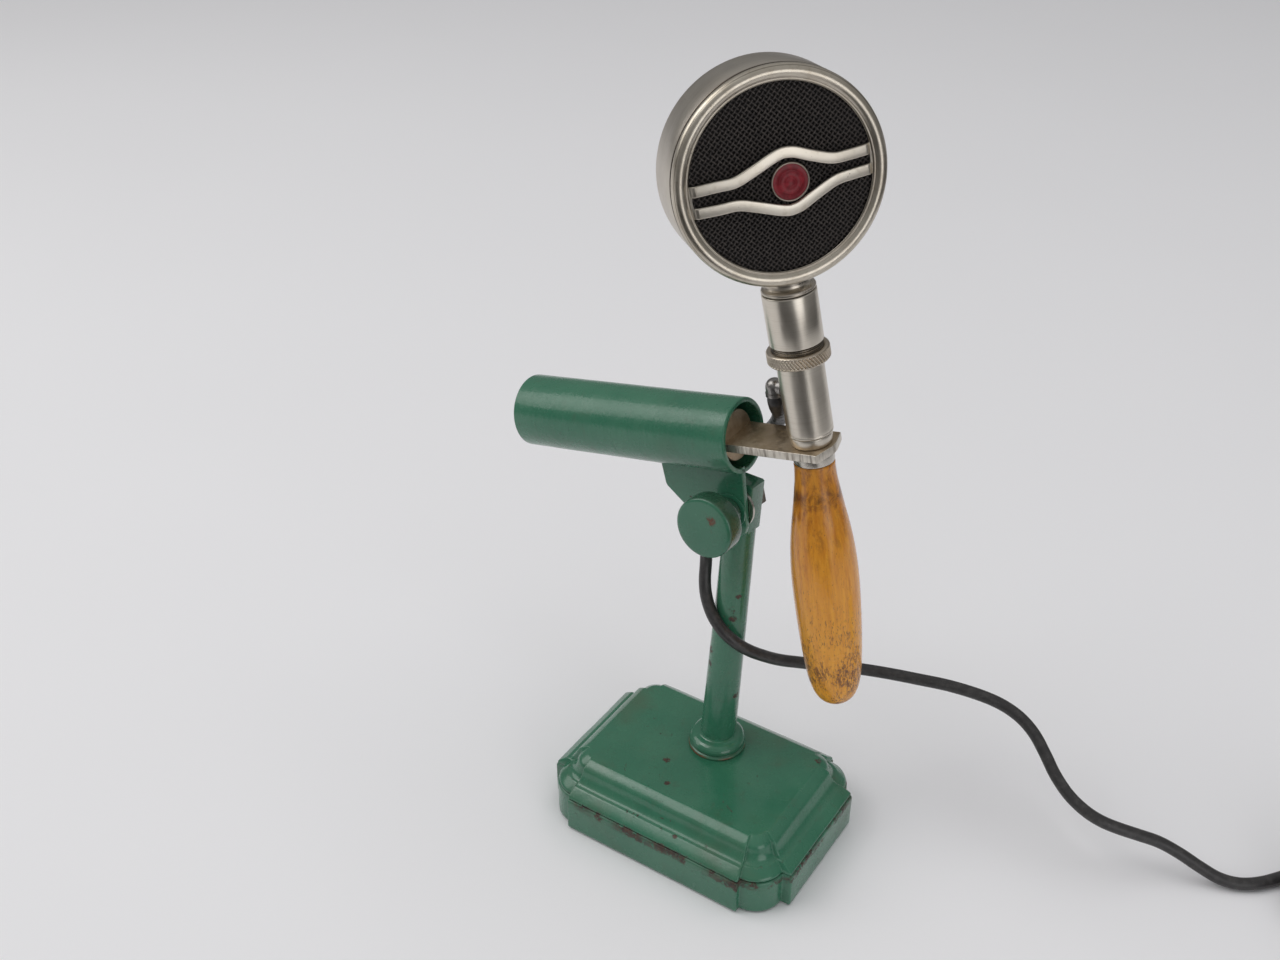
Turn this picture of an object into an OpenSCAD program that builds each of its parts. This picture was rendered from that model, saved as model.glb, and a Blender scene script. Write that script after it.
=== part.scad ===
// Hand microphone with a wooden handle, clamped in the tube arm of a small
// cast desk stand.  Millimetres, +Z up.  The origin is the middle of the base
// on the surface that it stands on.  +X points along the base towards the
// microphone, +Y away from the side that the clamp knob is on.

/* [Base] */
// Length of the base
base_l = 114.8; // [110:0.2:120]
// Width of the base
base_w = 82.8; // [79:0.2:88]
// Height of the lower band of the base
plinth_h = 16.5; // [15:0.5:17.5]
// Height of the flat top of the base
base_h = 30; // [29:0.5:32]

/* [Post] */
// How far the post leans back, in degrees
post_lean = 6.5; // [0:0.5:8]
// How far the post is turned on its foot, in degrees
post_turn = -2; // [-4:0.5:4]
// Radius of the post at its foot
post_r1 = 7.45; // [7:0.05:7.5]
// Radius of the post under its head
post_r2 = 6.3; // [5.8:0.1:6.8]
// Height of the tilt hinge above the foot, along the post
hinge_h = 116.2; // [112:0.2:120]

/* [Tube arm] */
// Tilt of the tube at rest, in degrees
arm_tilt = 12; // [8:0.5:16]
// Outer radius of the tube
tube_r = 14.5; // [14.2:0.1:14.8]
// Wall of the tube
tube_wall = 2; // [1.6:0.1:2]
// Length of the tube
tube_l = 101; // [90:1:110]
// Thickness of the bracket plate
plate_t = 2.6; // [2.2:0.1:2.6]
// Radius of the clamp knob
knob_r = 12.1; // [11:0.1:13]

/* [Microphone] */
// How far the holder is turned in the tube, in degrees
mic_roll = 8; // [4:0.5:12]
// Distance from the tube's mouth to the microphone's axis
mic_reach = 29.1; // [28:0.1:31]
// Outer radius of the lower sleeve
lower_r = 8.45; // [8.4:0.05:8.5]
// Outer radius of the upper sleeve
upper_r = 9.65; // [9.5:0.05:9.8]
// Height of the head's centre above the tube's axis
head_z = 102.2; // [102:0.1:104]
// Radius of the head
head_r = 36.3; // [36:0.1:37]
// How far the head is turned to the side, in degrees
head_turn = 47.5; // [0:0.5:90]

/* [Handle] */
// Greatest radius of the wooden handle
handle_r = 12.75; // [12:0.05:13.5]
// Length of the wooden handle
handle_l = 107.5; // [104:0.5:112]

/* [Cord] */
// Diameter of the cord
cord_d = 5; // [4.8:0.1:5]
// Middle radius of the cord's coil
coil_r = 27.5; // [27:0.5:28]

/* [Hidden] */
$fn = 96;

green = [0.13, 0.36, 0.25];
nickel = [0.72, 0.70, 0.66];
steel = [0.55, 0.55, 0.55];
black = [0.06, 0.06, 0.06];

foot = [0.4, 10.7];           // where the post stands on the base
knob_front = -28.1;           // front of the knob, along the hinge axis
plate_y = -9.1;               // front of the bracket plate
mouth_x = 6.9;                // mouth of the tube, from the hinge
tube_y = -5.3;                // middle of the tube, from the post's middle
tube_z = 29.7;                // middle of the tube above the hinge
rod_r = 9.85;                 // holder rod
nut_z = 34;                   // underside of the union nut
pitch = 0.8;                  // union thread

// ---- frames: each places its children in the frame of one assembly ----
module stand_frame() translate([foot[0], foot[1], base_h]) rotate([-post_lean, 0, 0]) rotate([0, 0, post_turn]) children();
module hinge_frame() stand_frame() translate([0, 0, hinge_h]) children();
module arm_frame() hinge_frame() rotate([0, -arm_tilt, 0]) children();
module tube_frame() arm_frame() translate([mouth_x, tube_y, tube_z]) children();
module mic_frame() tube_frame() translate([mic_reach, 0, 0]) rotate([mic_roll, 0, 0]) children();
module handle_frame() mic_frame() translate([0, 0, -2]) rotate([-1.7, 2.4, 0]) children();
module head_frame() mic_frame() translate([0, 0, head_z]) rotate([0, 0, head_turn]) children();
module along_y() rotate([-90, 0, 0]) children();    // +Z of the child becomes +Y
module along_x() rotate([0, 90, 0]) children();     // +Z of the child becomes +X

module ring(ro, ri, h, z = 0) translate([0, 0, z]) difference() {
  cylinder(r = ro, h = h);
  translate([0, 0, -1]) cylinder(r = ri, h = h + 2);
}
module lathe(p) rotate_extrude() polygon(p);

// ---- swept round tube through a list of points ----
function unit(v) = v / norm(v);
function tangent(p, i) = unit(p[min(i + 1, len(p) - 1)] - p[max(i - 1, 0)]);
function frames(p, i, u) = i >= len(p) ? [] :
  let (t = tangent(p, i), v = unit(u - (u * t) * t))
  concat([[v, cross(t, v)]], frames(p, i + 1, v));
module swept(p, r0, r1, n = 10) {
  f = frames(p, 0, unit(cross(tangent(p, 0), [0.3, 0.5, 0.2])));
  m = len(p);
  pts = [for (i = [0:m - 1]) for (k = [0:n - 1])
    let (r = r0 + (r1 - r0) * i / (m - 1), a = 360 * k / n)
    p[i] + r * (cos(a) * f[i][0] + sin(a) * f[i][1])];
  side = [for (i = [0:m - 2]) for (k = [0:n - 1])
    [i * n + k, (i + 1) * n + k, (i + 1) * n + (k + 1) % n, i * n + (k + 1) % n]];
  polyhedron(pts, concat([[for (k = [0:n - 1]) k]], side,
    [[for (k = [n - 1:-1:0]) (m - 1) * n + k]]), convexity = 8);
}

// ---- plan outline of the base, set in by d: straight panels that end in a
// small step, and a round corner between them ----
function corner(d) = let (
    X = base_l / 2 - d, Y = base_w / 2 - d,
    xf = 41 - 0.2 * d, ys = 26.5 - 0.33 * d,
    a = X - (4 - 0.2 * d) - xf, b = Y - (2.6 - 0.11 * d) - ys)
  concat([[X, ys], [xf + a, ys]],
    [for (k = [1:6]) [xf + a * cos(90 * k / 7), ys + b * sin(90 * k / 7)]],
    [[xf, ys + b], [xf, Y]]);
function flip(p, sx, sy) = [for (i = [len(p) - 1:-1:0]) [sx * p[i][0], sy * p[i][1]]];
function outline(d) = concat(corner(d), flip(corner(d), -1, 1),
  [for (q = corner(d)) [-q[0], -q[1]]], flip(corner(d), 1, -1));

// section of the cover: how far it is set in, and its height
cover_section = [[0.9, plinth_h + 0.05], [0.6, plinth_h + 0.4], [0.6, plinth_h + 0.9], [1.0, plinth_h + 1.5],
  [2.6, plinth_h + 2.9], [4.2, plinth_h + 4.1], [4.8, plinth_h + 4.5], [5.6, plinth_h + 4.6], [6.6, plinth_h + 5.1],
  [7.7, plinth_h + 6.2], [8.6, plinth_h + 7.8], [9.2, plinth_h + 9.4], [9.8, plinth_h + 10.8], [10.6, base_h - 2],
  [11.6, base_h - 1.2], [12.8, base_h - 0.6], [14, base_h - 0.15], [14.6, base_h]];
module cover_solid() {
  m = len(cover_section);
  n = len(outline(0));
  pts = concat([for (s = cover_section) for (q = outline(s[0])) [q[0], q[1], s[1]]],
    [[0, 0, cover_section[0][1]], [0, 0, cover_section[m - 1][1]]]);
  side = [for (i = [0:m - 2]) for (k = [0:n - 1])
    [i * n + k, (i + 1) * n + k, (i + 1) * n + (k + 1) % n, i * n + (k + 1) % n]];
  polyhedron(pts, concat(side, [for (k = [0:n - 1]) [k, (k + 1) % n, m * n]],
    [for (k = [0:n - 1]) [(m - 1) * n + (k + 1) % n, (m - 1) * n + k, m * n + 1]]), convexity = 8);
}
screw_at = [[34, 18], [-34, 18], [34, -18], [-34, -18]];

// ================= stand =================
module felt_pad() color([0.22, 0.24, 0.20]) difference() {
  linear_extrude(1.5) polygon(outline(5.4));
  for (p = screw_at) translate([p[0], p[1], -1]) cylinder(r = 5.4, h = 4);
}
module base_plinth() color(green) difference() {
  translate([0, 0, 0.4]) linear_extrude(plinth_h - 0.4) polygon(outline(0));
  translate([0, 0, -1]) linear_extrude(2.6) polygon(outline(5.2));
  for (p = screw_at) translate([p[0], p[1], 0]) {
    cylinder(r = 2.3, h = 30);
    cylinder(r = 5, h = 6);
  }
  translate([0, 0, 12]) linear_extrude(10) polygon(outline(14));
}
module base_cover() color(green) difference() {
  union() {
    difference() {
      cover_solid();
      translate([0, 0, plinth_h - 1]) linear_extrude(base_h - 3.5 - plinth_h + 1) polygon(outline(12));
    }
    for (p = screw_at) translate([p[0], p[1], plinth_h + 0.05]) cylinder(r = 5, h = 11);
  }
  for (p = screw_at) translate([p[0], p[1], plinth_h - 1]) cylinder(r = 2.02, h = 9);
  stand_frame() translate([0, 0, -12]) cylinder(r = 4.1, h = 24);
}
module base_screws() color(steel) for (p = screw_at) translate([p[0], p[1], 2.4]) {
  difference() {
    cylinder(r = 4.2, h = 3.5);
    translate([-5, -0.6, -1]) cube([10, 1.2, 2]);
  }
  cylinder(r = 2, h = plinth_h + 4.6);
}
module post_flange() color(green) difference() {
  translate([foot[0], foot[1], base_h + 0.02]) lathe([[0, 0], [11.6, 0], [11.9, 0.5], [11.9, 1.2],
    [11.3, 1.8], [11.7, 2.4], [11.8, 3.2], [11.4, 4.2], [10.6, 5.1], [9.6, 5.7], [8.6, 6.0], [8.0, 6.6], [0, 6.6]]);
  stand_frame() translate([0, 0, -5]) cylinder(r = 7.55, h = 30);
}
module post() color(green) difference() {
  stand_frame() union() {
    translate([0, 0, 0.95]) cylinder(r1 = post_r1, r2 = post_r2, h = hinge_h - 10.2);
    translate([0, 0, -11]) cylinder(r = 4, h = 13);
    translate([0, 0, hinge_h]) intersection() {
      translate([-6.2, -4.8, -11]) cube([12.4, 9.6, 21.3]);
      translate([0, -6, 0]) along_y() cylinder(r = 11.7, h = 12);
    }
  }
  hinge_frame() translate([0, -6, 0]) along_y() cylinder(r = 3.03, h = 12);
}
module post_nut() color(steel) stand_frame() translate([0, 0, -10]) difference() {
  cylinder(r = 7.5, h = 5.4, $fn = 6);
  translate([0, 0, -1]) cylinder(r = 4.03, h = 8);
}
module clamp_screw() color(steel) hinge_frame() translate([0, -22, 0]) along_y() cylinder(r = 3, h = 33);
module clamp_nut() color(steel) hinge_frame() translate([0, 4.9, 0]) along_y() difference() {
  union() {
    rotate([0, 0, 12]) cylinder(r = 5.8, h = 3.6, $fn = 6);
    cylinder(r = 4.1, h = 4.6);
  }
  translate([0, 0, -1]) cylinder(r = 3.03, h = 8);
}
module clamp_washer() color(nickel) hinge_frame() translate([0, -6.3, 0]) along_y() ring(8.6, 3.1, 1.3);

// ================= clamp knob =================
module knob_washer() color(steel) hinge_frame() translate([0, -10.2, 0]) along_y() ring(7.2, 3.1, 0.8);
module clamp_knob() color(green) hinge_frame() translate([0, knob_front, 0]) along_y() difference() {
  lathe([[0, 0.1], [9.5, 0.1], [11.2, 0.2], [11.8, 0.5], [knob_r, 1.1], [knob_r, 7.6], [11.8, 8.2], [11.2, 8.6],
    [6.6, 8.6], [6.4, 9.2], [6.4, 16.8], [6.0, 17.6], [0, 17.6]]);
  translate([0, 0, 4.5]) cylinder(r = 3.06, h = 20);
}

// ================= tube arm =================
module bracket_plate() color(green) arm_frame() difference() {
  translate([0, plate_y + plate_t, 0]) rotate([90, 0, 0]) linear_extrude(plate_t)
    polygon([[-30.2, 18], [-30.1, 15.4], [-29, 7.4], [-28.4, 6.4], [-12, -8.8], [-8, -11.4], [-3, -12.2],
      [2, -11.8], [5.4, -9.6], [6.6, -6.6], [mouth_x, 3], [mouth_x, 18]]);
  translate([-40, tube_y, tube_z]) along_x() cylinder(r = tube_r + 0.03, h = 60);
  translate([0, -12, 0]) along_y() cylinder(r = 3.06, h = 12);
}
module arm_tube() color(green) tube_frame() translate([-tube_l, 0, 0]) along_x() ring(tube_r, tube_r - tube_wall, tube_l);
module friction_sleeve() color([0.35, 0.22, 0.12]) tube_frame() translate([-58, 0, 0]) along_x()
  ring(tube_r - tube_wall - 0.05, rod_r + 0.05, 38);
module tube_plug() color(green) tube_frame() translate([-tube_l + 0.8, 0, 0]) along_x()
  lathe([[0, 0], [10.6, 0], [11.4, 0.3], [tube_r - tube_wall - 0.05, 1.2], [tube_r - tube_wall - 0.05, 9], [0, 9]]);

// ================= holder, lower half of the microphone =================
module holder() color(nickel) difference() {
  tube_frame() union() {
    rotate([mic_roll, 0, 0]) difference() {
      translate([-60, 0, 0]) along_x() cylinder(r = rod_r, h = 57.3);
      translate([-30, 0, 0]) along_x() cylinder(r = 4, h = 1);
    }
    rotate([mic_roll, 0, 0]) translate([-3, 0, -2.2]) linear_extrude(3.2)
      polygon([[0, -9.55], [38.8, -9.55], [41.2, -1], [41.0, 2], [38.8, 9.55], [0, 9.55]]);
  }
  handle_frame() translate([0, 0, -4]) cylinder(r = 3.7, h = 10);
}
module lower_plug() color(nickel) difference() {
  mic_frame() lathe([[0, 1.05], [6.7, 1.05], [7.2, 1.4], [7.6, 2.2], [7.85, 3.4], [7.95, 5.35], [7.0, 5.4], [7.0, 11], [0, 11]]);
  handle_frame() translate([0, 0, -4]) cylinder(r = 3.06, h = 20);
}
module lower_sleeve() color(nickel) mic_frame() difference() {
  lathe([[7.1, 5.45], [8.05, 5.45], [8.3, 5.8], [lower_r, 6.6], [lower_r, 35.8], [8.9, 35.8], [8.9, 36.8], [7.1, 36.8]]);
  translate([0, 0, 21]) rotate([0, 0, 172]) translate([5, 0, 0]) along_x() cylinder(r = 2.65, h = 6);
}
module socket_insulator() color([0.16, 0.09, 0.05]) mic_frame() difference() {
  translate([0, 0, 26]) cylinder(r = 7.05, h = 9);
  for (a = [45:90:315]) rotate([0, 0, a]) translate([3.6, 0, 20]) cylinder(r = 1.6, h = 20);
}
module socket_contacts() color([0.75, 0.6, 0.3]) mic_frame() for (a = [45:90:315]) rotate([0, 0, a])
  translate([3.6, 0, 0]) ring(1.55, 1.06, 10.6, 25);
module inner_leads() color([0.5, 0.1, 0.08]) mic_frame()
  swept([[-7.1, 1.0, 20.8], [-5, 0.7, 20.8], [-2.5, 0.2, 21.6], [-0.6, 0, 23], [0, 0, 24.6], [0, 0, 25.9]], 1.5, 1.5, 8);
elbow = [-13.4, 1.9];
module cord_elbow() color(nickel) mic_frame() difference() {
  union() {
    translate([0, 0, 21]) rotate([0, 0, 172]) translate([7.6, 0, 0]) along_x() cylinder(r = 2.6, h = 5.8);
    translate([0, 0, 21]) rotate([0, 0, 172]) translate([8.8, 0, 0]) along_x() cylinder(r = 3.3, h = 1.2);
    translate([elbow[0], elbow[1], 21]) sphere(r = 3.4);
    translate([elbow[0], elbow[1], 18]) cylinder(r = 3.4, h = 3);
    translate([elbow[0], elbow[1], 17.8]) cylinder(r = 3.7, h = 1.4);
  }
  translate([elbow[0], elbow[1], 17]) cylinder(r = 2.2, h = 3.4);
}

// ---- the cord's route, from the elbow to the floor ----
boot_route = [[12.27, 23.32, 197.05], [12.15, 24.3, 193.8], [11.7, 26.6, 190.4], [10.8, 29.8, 187.2], [9.5, 33.2, 183.6], [7.6, 36.4, 179],
  [4.5, 39.2, 173.6], [0.2, 41, 167.4], [-4.1, 41.5, 160.4], [-8.1, 41.5, 153.5]];
top_route = [[-8.35, 41.46, 153], [-12, 41, 146], [-15, 38.6, 139.2], [-16.4, 34, 131.8], [-16, 28.4, 123.6]];
run_route = [[-16, 28.4, 123.6], [-14.2, 22.6, 118], [-12, 18.4, 113.6], [-10.6, 15.6, 108.6], [-8.8, 13.4, 104.2], [-6, 11.2, 100.4],
  [-2.2, 9.2, 96.8], [2.6, 8.2, 93], [7.4, 9.2, 89], [11.4, 12.6, 84.4], [15.2, 18.4, 79], [19.4, 26.6, 72.6],
  [25, 36, 67], [33, 46.2, 61.8], [42.6, 54.6, 58.6], [54, 59.4, 58], [66, 63.4, 57.6], [78, 67.6, 56.8],
  [90, 71.2, 55], [99, 73.2, 52.8], [107.4, 73.6, 49.6], [114.8, 72.4, 45], [121.4, 69.4, 39.6], [128, 65.4, 34.6],
  [135.6, 62.2, 30.2], [143.4, 60.8, 27], [150.4, 61.4, 24.6], [157.4, 64.2, 22], [164.6, 68.4, 18.8], [172, 72.8, 15.2],
  [180.2, 75.4, 11.2], [188.6, 76.8, 7.2], [196.6, 78.4, 4], [204.2, 81.4, 2.8], [211, 86.6, 2.8], [217, 93.8, 2.8],
  [223, 101.6, 2.8], [229.6, 109.2, 2.8]];
module cord_boot() color(black) swept(boot_route, 3.3, 2.7);
module cord_top() color(black) swept(top_route, cord_d / 2, cord_d / 2);
module cord_run() color(black) swept(run_route, cord_d / 2, cord_d / 2);

// ---- the coil that the rest of the cord is wound into, and its plug ----
coil_at = [256.5, 98];
coil_in = coil_r - 1.5 * cord_d;
coil_out = coil_r + 1.5 * cord_d;
module coil_band(g) translate([coil_at[0], coil_at[1], 0]) rotate([0, 0, -60])
  translate([coil_in - 1, -3, -1]) cube([coil_out - coil_in + 2 + g, 6, 13]);
module cord_coil() color(black) difference() {
  translate([coil_at[0], coil_at[1], 0.3]) ring(coil_out, coil_in, 10.2);
  coil_band(0);
}
module cord_tie() color([0.25, 0.22, 0.2]) translate([coil_at[0], coil_at[1], 0]) rotate([0, 0, -60]) difference() {
  translate([coil_in - 0.9, -2.7, 0]) cube([coil_out - coil_in + 1.8, 5.4, 11.2]);
  translate([coil_in - 0.1, -4, 0.3]) cube([coil_out - coil_in + 0.2, 8, 10.2]);
}
plug_at = [246.1, 118, 19.6];  // middle of the cord's end of the plug
plug_turn = 15;                // the plug's direction on top of the coil
tail_route = [[245.4, 67.5, 7.8], [236.5, 72.4, 9], [229.6, 79.8, 11.2], [225.6, 87.4, 13], [224, 94.6, 13.6],
  [224.4, 101.4, 14.6], [226.6, 106.8, 16], [230, 111, 17.6], [234.2, 114.2, 18.9], [238.8, 116, 19.6]];
module plug_frame() translate(plug_at) rotate([0, 0, plug_turn]) along_x() children();
module cord_tail() color(black) swept(tail_route, cord_d / 2, cord_d / 2);
module plug_boot() color(black) plug_frame() lathe([[0, -7.6], [3.2, -7.6], [3.4, -7], [4.6, 0], [0, 0]]);
module plug_shell() color(nickel) plug_frame() difference() {
  lathe([[0, 0.05], [5, 0.05], [6.6, 1], [8, 3], [8.8, 5], [9, 6], [9, 27], [8.6, 27.6], [0, 27.6]]);
  translate([0, 0, 14]) cylinder(r = 8, h = 30);
}
module plug_insert() color([0.16, 0.09, 0.05]) plug_frame() difference() {
  translate([0, 0, 14.1]) cylinder(r = 7.9, h = 11.9);
  for (a = [45:90:315]) rotate([0, 0, a]) translate([4.2, 0, 14]) cylinder(r = 1.12, h = 14);
}
module plug_pins() color([0.75, 0.6, 0.3]) plug_frame() for (a = [45:90:315]) rotate([0, 0, a])
  translate([4.2, 0, 16]) cylinder(r = 1.1, h = 18);

// ================= union nut =================
module union_washer() color([0.75, 0.6, 0.3]) mic_frame() ring(9.0, lower_r + 0.12, 0.35, nut_z + 1.35);
module union_nut() color(nickel) mic_frame() difference() {
  lathe([[lower_r + 0.12, nut_z], [10.6, nut_z], [11.3, nut_z + 0.7], [11.3, nut_z + 4.3], [10.8, nut_z + 5],
    [9.9, nut_z + 5], [9.1, nut_z + 4.3], [9.1, nut_z + 1.3], [lower_r + 0.12, nut_z + 1.3]]);
}

// ================= head =================
module upper_sleeve() color(nickel) mic_frame() lathe(concat(
  [[7.7, 36.9], [8.8, 36.9]],
  [for (k = [0:3]) each [[8.98, 37.3 + k * pitch], [8.98, 37.6 + k * pitch], [8.72, 37.8 + k * pitch], [8.72, 37.95 + k * pitch]]],
  [[8.98, 40.6], [8.98, 41], [9.5, 41.1], [upper_r, 41.4], [upper_r, 59.7], [9.4, 60.1], [7.7, 60.1]]));
module neck() color(nickel) difference() {
  mic_frame() lathe([[3.6, 55], [7.6, 55], [7.6, 60.2], [8.9, 60.2], [9.3, 60.5], [9.6, 61.1], [9.5, 61.7], [9.0, 62.1],
    [8.2, 62.5], [7.8, 63.2], [7.7, 64.2], [8.0, 65.4], [8.7, 66.6], [9.4, 67.6], [9.4, 69], [5, 69], [5, 71.6], [3.6, 71.6]]);
  difference() {
    head_frame() translate([0, -20, 0]) along_y() cylinder(r = head_r + 0.05, h = 40);
    mic_frame() translate([0, 0, 60]) cylinder(r = 5, h = 20);
  }
}
module neck_nut() color(steel) mic_frame() difference() {
  translate([0, 0, head_z - head_r + 2.2]) rotate([0, 0, head_turn]) cylinder(r = 6.4, h = 2.2, $fn = 6);
  translate([0, 0, 60]) cylinder(r = 5.03, h = 20);
}
module plug_insulator() color([0.16, 0.09, 0.05]) mic_frame() difference() {
  translate([0, 0, 37.5]) cylinder(r = 7.6, h = 8);
  for (a = [45:90:315]) rotate([0, 0, a]) translate([3.6, 0, 30]) cylinder(r = 1.02, h = 20);
}
module contact_pins() color([0.75, 0.6, 0.3]) mic_frame() for (a = [45:90:315]) rotate([0, 0, a])
  translate([3.6, 0, 27]) cylinder(r = 1, h = 20);
module head_leads() color([0.5, 0.1, 0.08]) head_frame() for (s = [-1, 1])
  swept([[s * 1.7, 0, -54.6], [s * 1.7, 0, -50], [s * 1.7, 0, -42], [s * 1.7, 0, -35], [s * 1.7, 0.3, -31], [s * 2.2, 2.2, -29],
    [s * 3, 4.4, -27.8], [s * 3.8, 5.2, -24.6], [s * 3.8, 5.2, -20]], 0.7, 0.7, 8);
module head_shell() color(nickel) head_frame() difference() {
  along_y() difference() {
    lathe([[0, -9.3], [head_r, -9.3], [head_r, 9.6], [36.0, 11], [35.2, 12.2], [33.8, 13.1], [32.2, 13.5],
      [22, 14.0], [10, 14.4], [0, 14.5]]);
    translate([0, 0, -12]) lathe([[0, 0], [35.1, 0], [35.1, 21.4], [34.6, 22.8], [33.4, 23.9], [31.8, 24.3], [0, 25.2]]);
    for (a = [90:120:330]) rotate([0, 0, a]) translate([24, 0, 0]) cylinder(r = 1.3, h = 30);
  }
  translate([0, 0, -50]) cylinder(r = 5.1, h = 30);
  translate([-head_r - 0.1, 8.6, -0.9]) rotate([0, 0, 10]) cube([2, 2.4, 1.8], center = true);
}
module bezel() color(nickel) head_frame() difference() {
  along_y() lathe([
  [35.0, -4], [35.0, -9.35], [36.0, -9.4], [36.3, -9.8], [36.3, -10.8], [36.1, -11.8], [35.7, -12.6], [35.1, -13.2],
  [34.4, -13.4], [33.8, -13.2], [33.4, -12.7], [33.2, -12.6], [33.0, -12.9], [32.4, -12.9],
  [31.0, -12.5], [30.8, -12.3], [30.9, -12.05], [34.0, -12.05], [34.0, -4]]);
  translate([-8.5, -9.1, -36]) cube([17, 8, 4]);   // room for the neck and its nut
}
module grille() color(black) head_frame() along_y() difference() {
  intersection() {
    translate([0, 0, -12]) cylinder(r = 33.8, h = 1.7);
    translate([0, 0, 511.6 - 12]) sphere(r = 511.6, $fn = 180);
  }
  translate([0, 0, 511.6 - 11.4]) sphere(r = 511.6, $fn = 180);
}
// middle line of the upper guard bar: distance along the face, and away from
// the line half way between the two bars, which mirror each other
wave = [[-34, 3.6], [-29, 3.6], [-22, 3.75], [-16, 3.8], [-10.4, 5.6], [-3.6, 8.3], [0, 9.4], [2.4, 9.4], [5.2, 8.7],
  [10.4, 6.3], [17.2, 3.7], [23, 3.3], [29, 3.3], [34, 3.3]];
wave_mid = -0.6;
function curve_at(a, b, c, d, t) = ((2 * b) + (c - a) * t + (2 * a - 5 * b + 4 * c - d) * t * t + (3 * b - a - 3 * c + d) * t * t * t) / 2;
function smooth(w, n) = [for (i = [1:len(w) - 3]) for (k = [0:n - 1]) curve_at(w[i - 1], w[i], w[i + 1], w[i + 2], k / n)];
function strip(w, h) = concat([for (p = w) [p[0], p[1] + h]], [for (i = [len(w) - 1:-1:0]) [w[i][0], w[i][1] - h]]);
bar_r = 218;                   // the bars bow out over the mesh on this radius
bar_front = -15.2;
module bar_outline(s) translate([0, wave_mid]) scale([1, s]) polygon(strip(smooth(wave, 3), 1.75));
module guard_bars() color(nickel) head_frame() difference() {
  union() {
    // bowed part of each bar
    intersection() {
      for (s = [1, -1]) translate([0, -11.5, 0]) rotate([90, 0, 0]) linear_extrude(6) bar_outline(s);
      translate([0, bar_front + bar_r, 0]) sphere(r = bar_r, $fn = 180);
      translate([0, -20, 0]) along_y() cylinder(r = 29.6, h = 20);
    }
    // end pieces, bent back under the rim
    for (e = [-1, 1]) intersection() {
      translate([e > 0 ? 28.4 : -34.4, -12, wave_mid - 5.4]) cube([6, 0.6, 10.8]);
      translate([0, -20, 0]) along_y() cylinder(r = 33, h = 20);
    }
    for (e = [-1, 1]) translate([e > 0 ? 28.4 : -29.6, -13.3, wave_mid - 5.4]) cube([1.2, 1.6, 10.8]);
  }
  translate([0, bar_front + 1.0 + bar_r, 0]) intersection() {
    sphere(r = bar_r, $fn = 180);
    translate([0, -bar_r, 0]) along_y() cylinder(r = 28.6, h = 60, center = true);
  }
}
badge_at = [2.5, -1.4];
module badge_rim() color(nickel) head_frame() translate([badge_at[0], 0, badge_at[1]]) along_y() translate([0, 0, -13.1]) lathe(
  [[5.9, 0.1], [6.2, -0.1], [6.5, 0.1], [6.5, 0.8], [6.3, 1.04], [0, 1.04], [0, 0.7], [5.9, 0.7]]);
module badge_enamel() color([0.5, 0.05, 0.05]) head_frame() translate([badge_at[0], 0, badge_at[1]]) along_y()
  translate([0, 0, -13.1]) lathe([[0, -0.1], [4, -0.05], [5.85, 0.1], [5.85, 0.65], [0, 0.65]]);
module baffle() color(steel) head_frame() along_y() difference() {
  translate([0, 0, -10.3]) cylinder(r = 33.8, h = 0.8);
  for (r = [10, 20]) for (a = [0:60:359]) rotate([0, 0, a + r]) translate([r, 0, -12]) cylinder(r = 2.6, h = 5);
}
module clamp_ring() color(steel) head_frame() along_y() ring(33.8, 30, 1.6, -9.3);
module diaphragm() color([0.75, 0.75, 0.72]) head_frame() along_y() lathe([[0, -7.3], [8, -7.3], [9, -7.0], [33.6, -7.3], [33.6, -7.05],
  [9, -6.75], [8, -7.05], [0, -7.05]]);
module spacer_ring() color([0.16, 0.09, 0.05]) head_frame() along_y() ring(33.8, 30.5, 1.2, -6.9);
module capsule_body() color([0.45, 0.45, 0.43]) head_frame() along_y() difference() {
  translate([0, 0, -5.6]) cylinder(r = 33.8, h = 9);
  translate([0, 0, -7]) cylinder(r = 9.5, h = 6.4);
  translate([-40, 26.8, -10]) cube([80, 20, 20]);   // flat over the neck
  for (a = [90:120:330]) rotate([0, 0, a]) translate([24, 0, -2]) cylinder(r = 1.23, h = 30);
}
module carbon_button() color(black) head_frame() along_y() translate([0, 0, -6.6]) lathe([[0, 0], [6, 0], [8.6, 1], [9.2, 2.4], [9.2, 5.8], [0, 5.8]]);
module back_screws() color(nickel) head_frame() along_y() for (a = [90:120:330]) rotate([0, 0, a]) translate([24, 0, 0]) {
  cylinder(r = 1.2, h = 14.2);
  difference() {
    translate([0, 0, 13.98]) cylinder(r1 = 2.4, r2 = 1.9, h = 1.1);
    translate([-3, -0.35, 14.5]) cube([6, 0.7, 2]);
  }
}

// ================= handle =================
module handle_collar() color(nickel) handle_frame() difference() {
  translate([0, 0, -4.2]) cylinder(r = 7.6, h = 3.5);
  translate([0, 0, -8]) cylinder(r = 3.1, h = 12);
}
module handle_stud() color(steel) handle_frame() translate([0, 0, -24]) cylinder(r = 3, h = 34);
module wood_handle() color([0.68, 0.38, 0.08]) handle_frame() translate([0, 0, -4.4]) difference() {
  lathe([for (q = [[0, 0], [7.2, 0], [7.5, 0.8], [7.6, 3], [7.9, 7.6], [8.5, 12], [9.2, 17], [10.1, 22.5], [10.9, 27.5], [11.7, 33.5],
    [12.3, 40], [12.7, 47.5], [12.75, 56], [12.55, 66], [12.15, 76], [11.6, 85], [10.9, 93], [10.1, 98.6], [9.0, 103],
    [7.4, 106.4], [5.2, 108.6], [2.6, 109.7], [0, 110]]) [q[0] * handle_r / 12.75, -q[1] * handle_l / 110]]);
  translate([0, 0, -22]) cylinder(r = 3.05, h = 25);
}

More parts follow.
